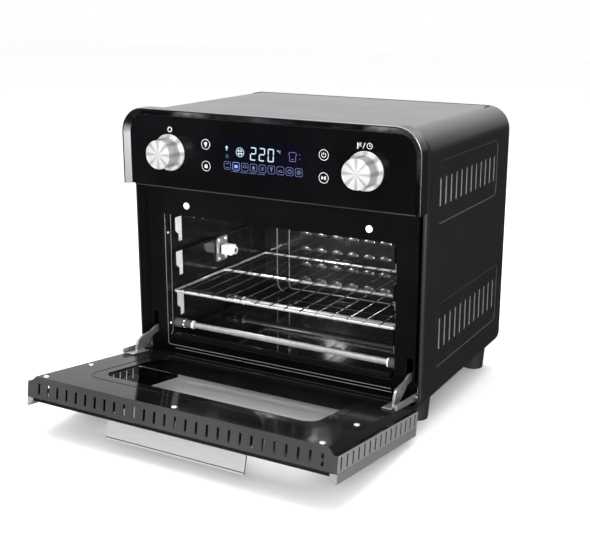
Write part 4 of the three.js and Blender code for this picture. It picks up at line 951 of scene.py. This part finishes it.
def make_tabs():
    """Bright plates at the front of the rack guides."""
    front, tail, back, corner = (TAB[name] for name in ("front", "tail", "back", "corner"))
    plates = []
    for _, sign in SIDES:
        for top in TAB["tops"]:
            low, foot = top - TAB["height"], top - TAB["drop"]
            outline = [(front, top), (back, top), (back, foot), (tail, foot), (tail, low),
                       (front + corner, low), (front, low + corner)]
            corners = [at(sign * TAB["x"], y, z) for y, z in outline]
            plates.append((corners, (-sign * TAB["sheet"] * MM, 0, 0)))
    placed("guide_tabs", eased(slabs(plates), TAB["edge"]), "tab_steel", "body", "satin_steel")


def make_screws():
    """Screws of the door, the spit plate and the back, and the cavity's rivets."""
    facing = OPENING.to_3x3() @ Vector((0, 1, 0))
    places = [(on_door(x, DOOR["inner"], z), facing) for x, z in DOOR_SCREWS]
    copies("door_screws", places, screw_head(*SCREW), "tab_steel", "door", "chrome", FULL_TURN, 3)
    wall = -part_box("cavity_baffle")[1].x / MM - RIVET_SINK
    places = [(at(wall, y, z), (1, 0, 0)) for y, z in CAVITY_RIVETS]
    copies("cavity_rivets", places, rivet_head(*RIVET), "tab_steel", "body", "satin_steel")
    low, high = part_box("spit_plate")
    middle = (low + high) / 2
    places = [(Vector((high.x, middle.y + y * (high.y - low.y), middle.z + z * (high.z - low.z))), (1, 0, 0))
              for y, z in SPIT_SCREWS]
    copies("spit_screws", places, screw_head(*SMALL_SCREW), "tab_steel", "body", "chrome", FULL_TURN, 4)
    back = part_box("rear_panel")[1]
    places = [(Vector((sign * x * MM, back.y, z * MM)), (0, 1, 0))
              for _, sign in SIDES for x, z in BACK_SCREWS]
    copies("back_screws", places, screw_head(*SCREW), "hinge_steel", "body", "satin_steel", FULL_TURN, 6)


def arc(x, z, radius, line, start, end):
    """A ring or part of one, as a strip of four-sided patches."""
    steps = ARC_STEPS + round(abs(end - start) / ARC_DEGREES)
    angles = [math.radians(start + (end - start) * i / steps) for i in range(steps + 1)]
    return [[(x + r * math.cos(t), z + r * math.sin(t))
             for r, t in ((radius, a), (radius, b), (radius - line, b), (radius - line, a))]
            for a, b in zip(angles, angles[1:])]


def disc(x, z, radius):
    angles = [FULL_TURN * i / DISC_STEPS for i in range(DISC_STEPS)]
    return [[(x + radius * math.cos(a), z + radius * math.sin(a)) for a in angles]]


def bar(x0, z0, x1, z1, line):
    """A straight stroke."""
    along = Vector((x1 - x0, z1 - z0)).normalized() * (line / 2)
    a, b = -along.y, along.x
    return [[(x0 + a, z0 + b), (x0 - a, z0 - b), (x1 - a, z1 - b), (x1 + a, z1 + b)]]


def chain(line, *points):
    """Straight strokes from point to point."""
    return [patch for start, end in zip(points, points[1:]) for patch in bar(*start, *end, line)]


def block(x0, x1, z0, z1):
    return [rectangle(x0, x1, z0, z1)]


def fill(*corners):
    return [list(corners)]


STROKES = {"arc": arc, "disc": disc, "bar": bar, "chain": chain, "block": block, "fill": fill}


def symbol(name, x, z, turn=0.0):
    """The patches of a symbol, turned about its middle and moved to its place."""
    cos, sin = math.cos(math.radians(turn)), math.sin(math.radians(turn))
    patches = [patch for kind, *values in SYMBOLS[name] for patch in STROKES[kind](*values)]
    return [[(x + cos * a - sin * b, z + sin * a + cos * b) for a, b in patch] for patch in patches]


def printed(name, patches, finish, slot, lift=PRINT_LIFT):
    """Thin marks on the glass, from outlines in millimetres."""
    near = GLASS_FRONT - (lift + PRINT_THICKNESS) * MM
    back = (0, PRINT_THICKNESS * MM, 0)
    marks = slabs([([(x * MM, near, z * MM) for x, z in patch], back) for patch in patches])
    placed(name, marks, finish, "body", slot)


def key_marks():
    """The touch keys with their rings, and the symbols over the knobs."""
    marks = []
    for name, (x, z) in KEYS.items():
        marks += arc(x, z, *KEY_RING, 0, 360) + symbol(name, x, z)
    for name, (x, z) in KNOB_SYMBOLS.items():
        marks += symbol(name, x, z)
    for i in range(TEETH):
        marks += symbol("tooth", *KNOB_SYMBOLS["gear"], 360 / TEETH * (i + 0.5))
    return marks


def digit(character, x, z):
    """A seven-segment digit with its lower left corner at x, z."""
    w, h, t = DIGIT["width"], DIGIT["height"], DIGIT["line"]
    cut, short = DIGIT["cut"] * t, DIGIT["short"] * t
    level = {"a": (h - t, h), "g": ((h - t) / 2, (h + t) / 2), "d": (0, t)}
    patches = []
    for name in SEGMENTS[character]:
        if name in level:
            patches += block(short, w - short, *level[name])
        else:
            left = 0 if name in "fe" else w - t
            low, top = (h / 2 + cut, h - cut) if name in "fb" else (cut, h / 2 - cut)
            patches += block(left, left + t, low, top)
    return [[(x + a + DIGIT["slant"] * b, z + b) for a, b in patch] for patch in patches]


def display_marks():
    """The lit digits and the symbols beside them."""
    marks = []
    for i, character in enumerate(READING):
        marks += digit(character, DIGIT["left"] + i * DIGIT["pitch"], DIGIT["low"])
    for name, (x, z) in LIT_SYMBOLS.items():
        marks += symbol(name, x, z)
    for i in range(BLADES):
        marks += symbol("blade", *LIT_SYMBOLS["fan"], 360 / BLADES * i)
    return marks


def icon(number):
    """One symbol of the lower row in its frame, a square with cut corners."""
    x, z = ICONS["first"] + number * ICONS["pitch"], ICONS["z"]
    half, near = ICONS["half"], ICONS["half"] - ICONS["corner"]
    corners = [(-near, -half), (near, -half), (half, -near), (half, near),
               (near, half), (-near, half), (-half, near), (-half, -near), (-near, -half)]
    return chain(ICONS["line"], *((x + a, z + b) for a, b in corners)) + symbol(f"icon_{number}", x, z)


def make_prints():
    """All marks of the control panel and the display."""
    printed("key_marks", key_marks(), "print", "aluminium")
    printed("display_field", block(*DISPLAY), "window_print", "black_glass", lift=0.0)
    dim = [patch for i in range(ICONS["count"]) if i != ICONS["lit"] for patch in icon(i)]
    for name, (x, z) in DIM_SYMBOLS.items():
        dim += symbol(name, x, z)
    for x in UNDERLINES:
        dim += symbol("underline", x, UNDERLINE_Z)
    lift = PRINT_THICKNESS + PRINT_LIFT
    printed("lit_digits", display_marks(), "digits", "lens", lift)
    printed("dim_icons", dim, "icons", "lens", lift)
    printed("lit_icon", icon(ICONS["lit"]), "bright_icon", "lens", lift)
    printed("toast_icon", symbol("toast", *TOAST), "toast", "lens", lift)


def make_floor():
    """Pale paper under the oven."""
    half = FLOOR_SIZE / 2
    shape = bmesh.new()
    shape.faces.new([shape.verts.new((x, y, 0.0)) for x, y in rectangle(-half, half, -half, half)])
    floor = bpy.data.objects.new("floor", mesh_of(shape))
    bpy.context.scene.collection.objects.link(floor)
    paper = Finish("floor_paper", (0.98, 0.98, 0.98), roughness=0.9, specular_ior_level=0.1)
    floor.data.materials.append(paper.material)
    floor.visible_glossy = False


def area_light(name, place, target, width, height, watts):
    """A soft rectangular lamp that the camera doesn't see."""
    lamp = bpy.data.lights.new(name, "AREA")
    lamp.shape, lamp.size, lamp.size_y, lamp.energy = "RECTANGLE", width, height, watts
    made = bpy.data.objects.new(name, lamp)
    made.location = place
    made.visible_camera = False
    made.visible_glossy = name not in FILL_LIGHTS
    made.rotation_euler = (Vector(target) - Vector(place)).to_track_quat("-Z", "Y").to_euler()
    bpy.context.scene.collection.objects.link(made)


def make_world():
    """A white room. Mirrored, its far end is brighter, and its floor is dim but for the right front part."""
    world = bpy.data.worlds.new("studio")
    bpy.context.scene.world = world
    world.use_nodes = True
    graph = Graph(world.node_tree)
    across, depth, height = graph.split(graph.node("ShaderNodeTexCoord").outputs["Generated"])
    behind, above = depth.step(*FADES["behind"]), height.step(*FADES["above"])
    dim = across.step(*FADES["shade_x"]) * depth.step(*FADES["shade_y"]) * (1.0 - above)
    sky = height.step(*FADES["horizon"]) * (ROOM["sky"] + ROOM["behind"] * behind + ROOM["above"] * above)
    corner = across.step(*FADES["corner_x"]) * (0.0 - depth).step(*FADES["corner_y"])
    corner = ROOM["corner"] * corner * (1.0 - height.step(*FADES["corner_z"]))
    glow = ROOM["floor"] + sky * (1.0 - ROOM["shade"] * dim) + corner
    mirrored = Term(graph, graph.node("ShaderNodeLightPath").outputs["Is Glossy Ray"])
    background = graph.tree.nodes["Background"].inputs
    graph.feed(background["Color"], (1.0, 1.0, 1.0, 1.0))
    graph.feed(background["Strength"], 1.0 + mirrored * (glow - 1.0))


def make_camera():
    """The photograph's camera."""
    camera = bpy.data.cameras.new("camera")
    camera.sensor_fit, camera.sensor_width = "HORIZONTAL", SENSOR
    camera.lens = FOCAL_PIXELS * SENSOR / IMAGE_WIDTH
    camera.shift_x = (IMAGE_WIDTH / 2 - CENTRE_PIXEL[0]) / IMAGE_WIDTH
    camera.shift_y = (CENTRE_PIXEL[1] - IMAGE_HEIGHT / 2) / IMAGE_WIDTH
    camera.clip_start, camera.clip_end = CLIP
    yaw, pitch, roll = (math.radians(angle) for angle in (CAMERA_YAW, CAMERA_PITCH, CAMERA_ROLL))
    forward = Vector((-math.sin(yaw) * math.cos(pitch), math.cos(yaw) * math.cos(pitch), -math.sin(pitch)))
    level = Vector((math.cos(yaw), math.sin(yaw), 0.0))
    upright = level.cross(forward)
    right = level * math.cos(roll) + upright * math.sin(roll)
    up = upright * math.cos(roll) - level * math.sin(roll)
    made = bpy.data.objects.new("camera", camera)
    turned = Matrix((right, up, -forward)).transposed().to_4x4()
    made.matrix_world = Matrix.Translation(at(*CAMERA_PLACE)) @ turned
    bpy.context.scene.collection.objects.link(made)
    bpy.context.scene.camera = made


make_heaters()
make_rack()
for side, sign in SIDES:
    make_knob(side, sign)
make_fins()
make_hoods()
make_beads()
make_edges()
make_handle_shade_line()
make_spit()
make_tabs()
make_screws()
make_prints()
make_floor()
make_world()
make_camera()
for name, settings in LIGHTS.items():
    area_light(name, *settings)
bpy.context.scene.view_settings.view_transform = "Standard"
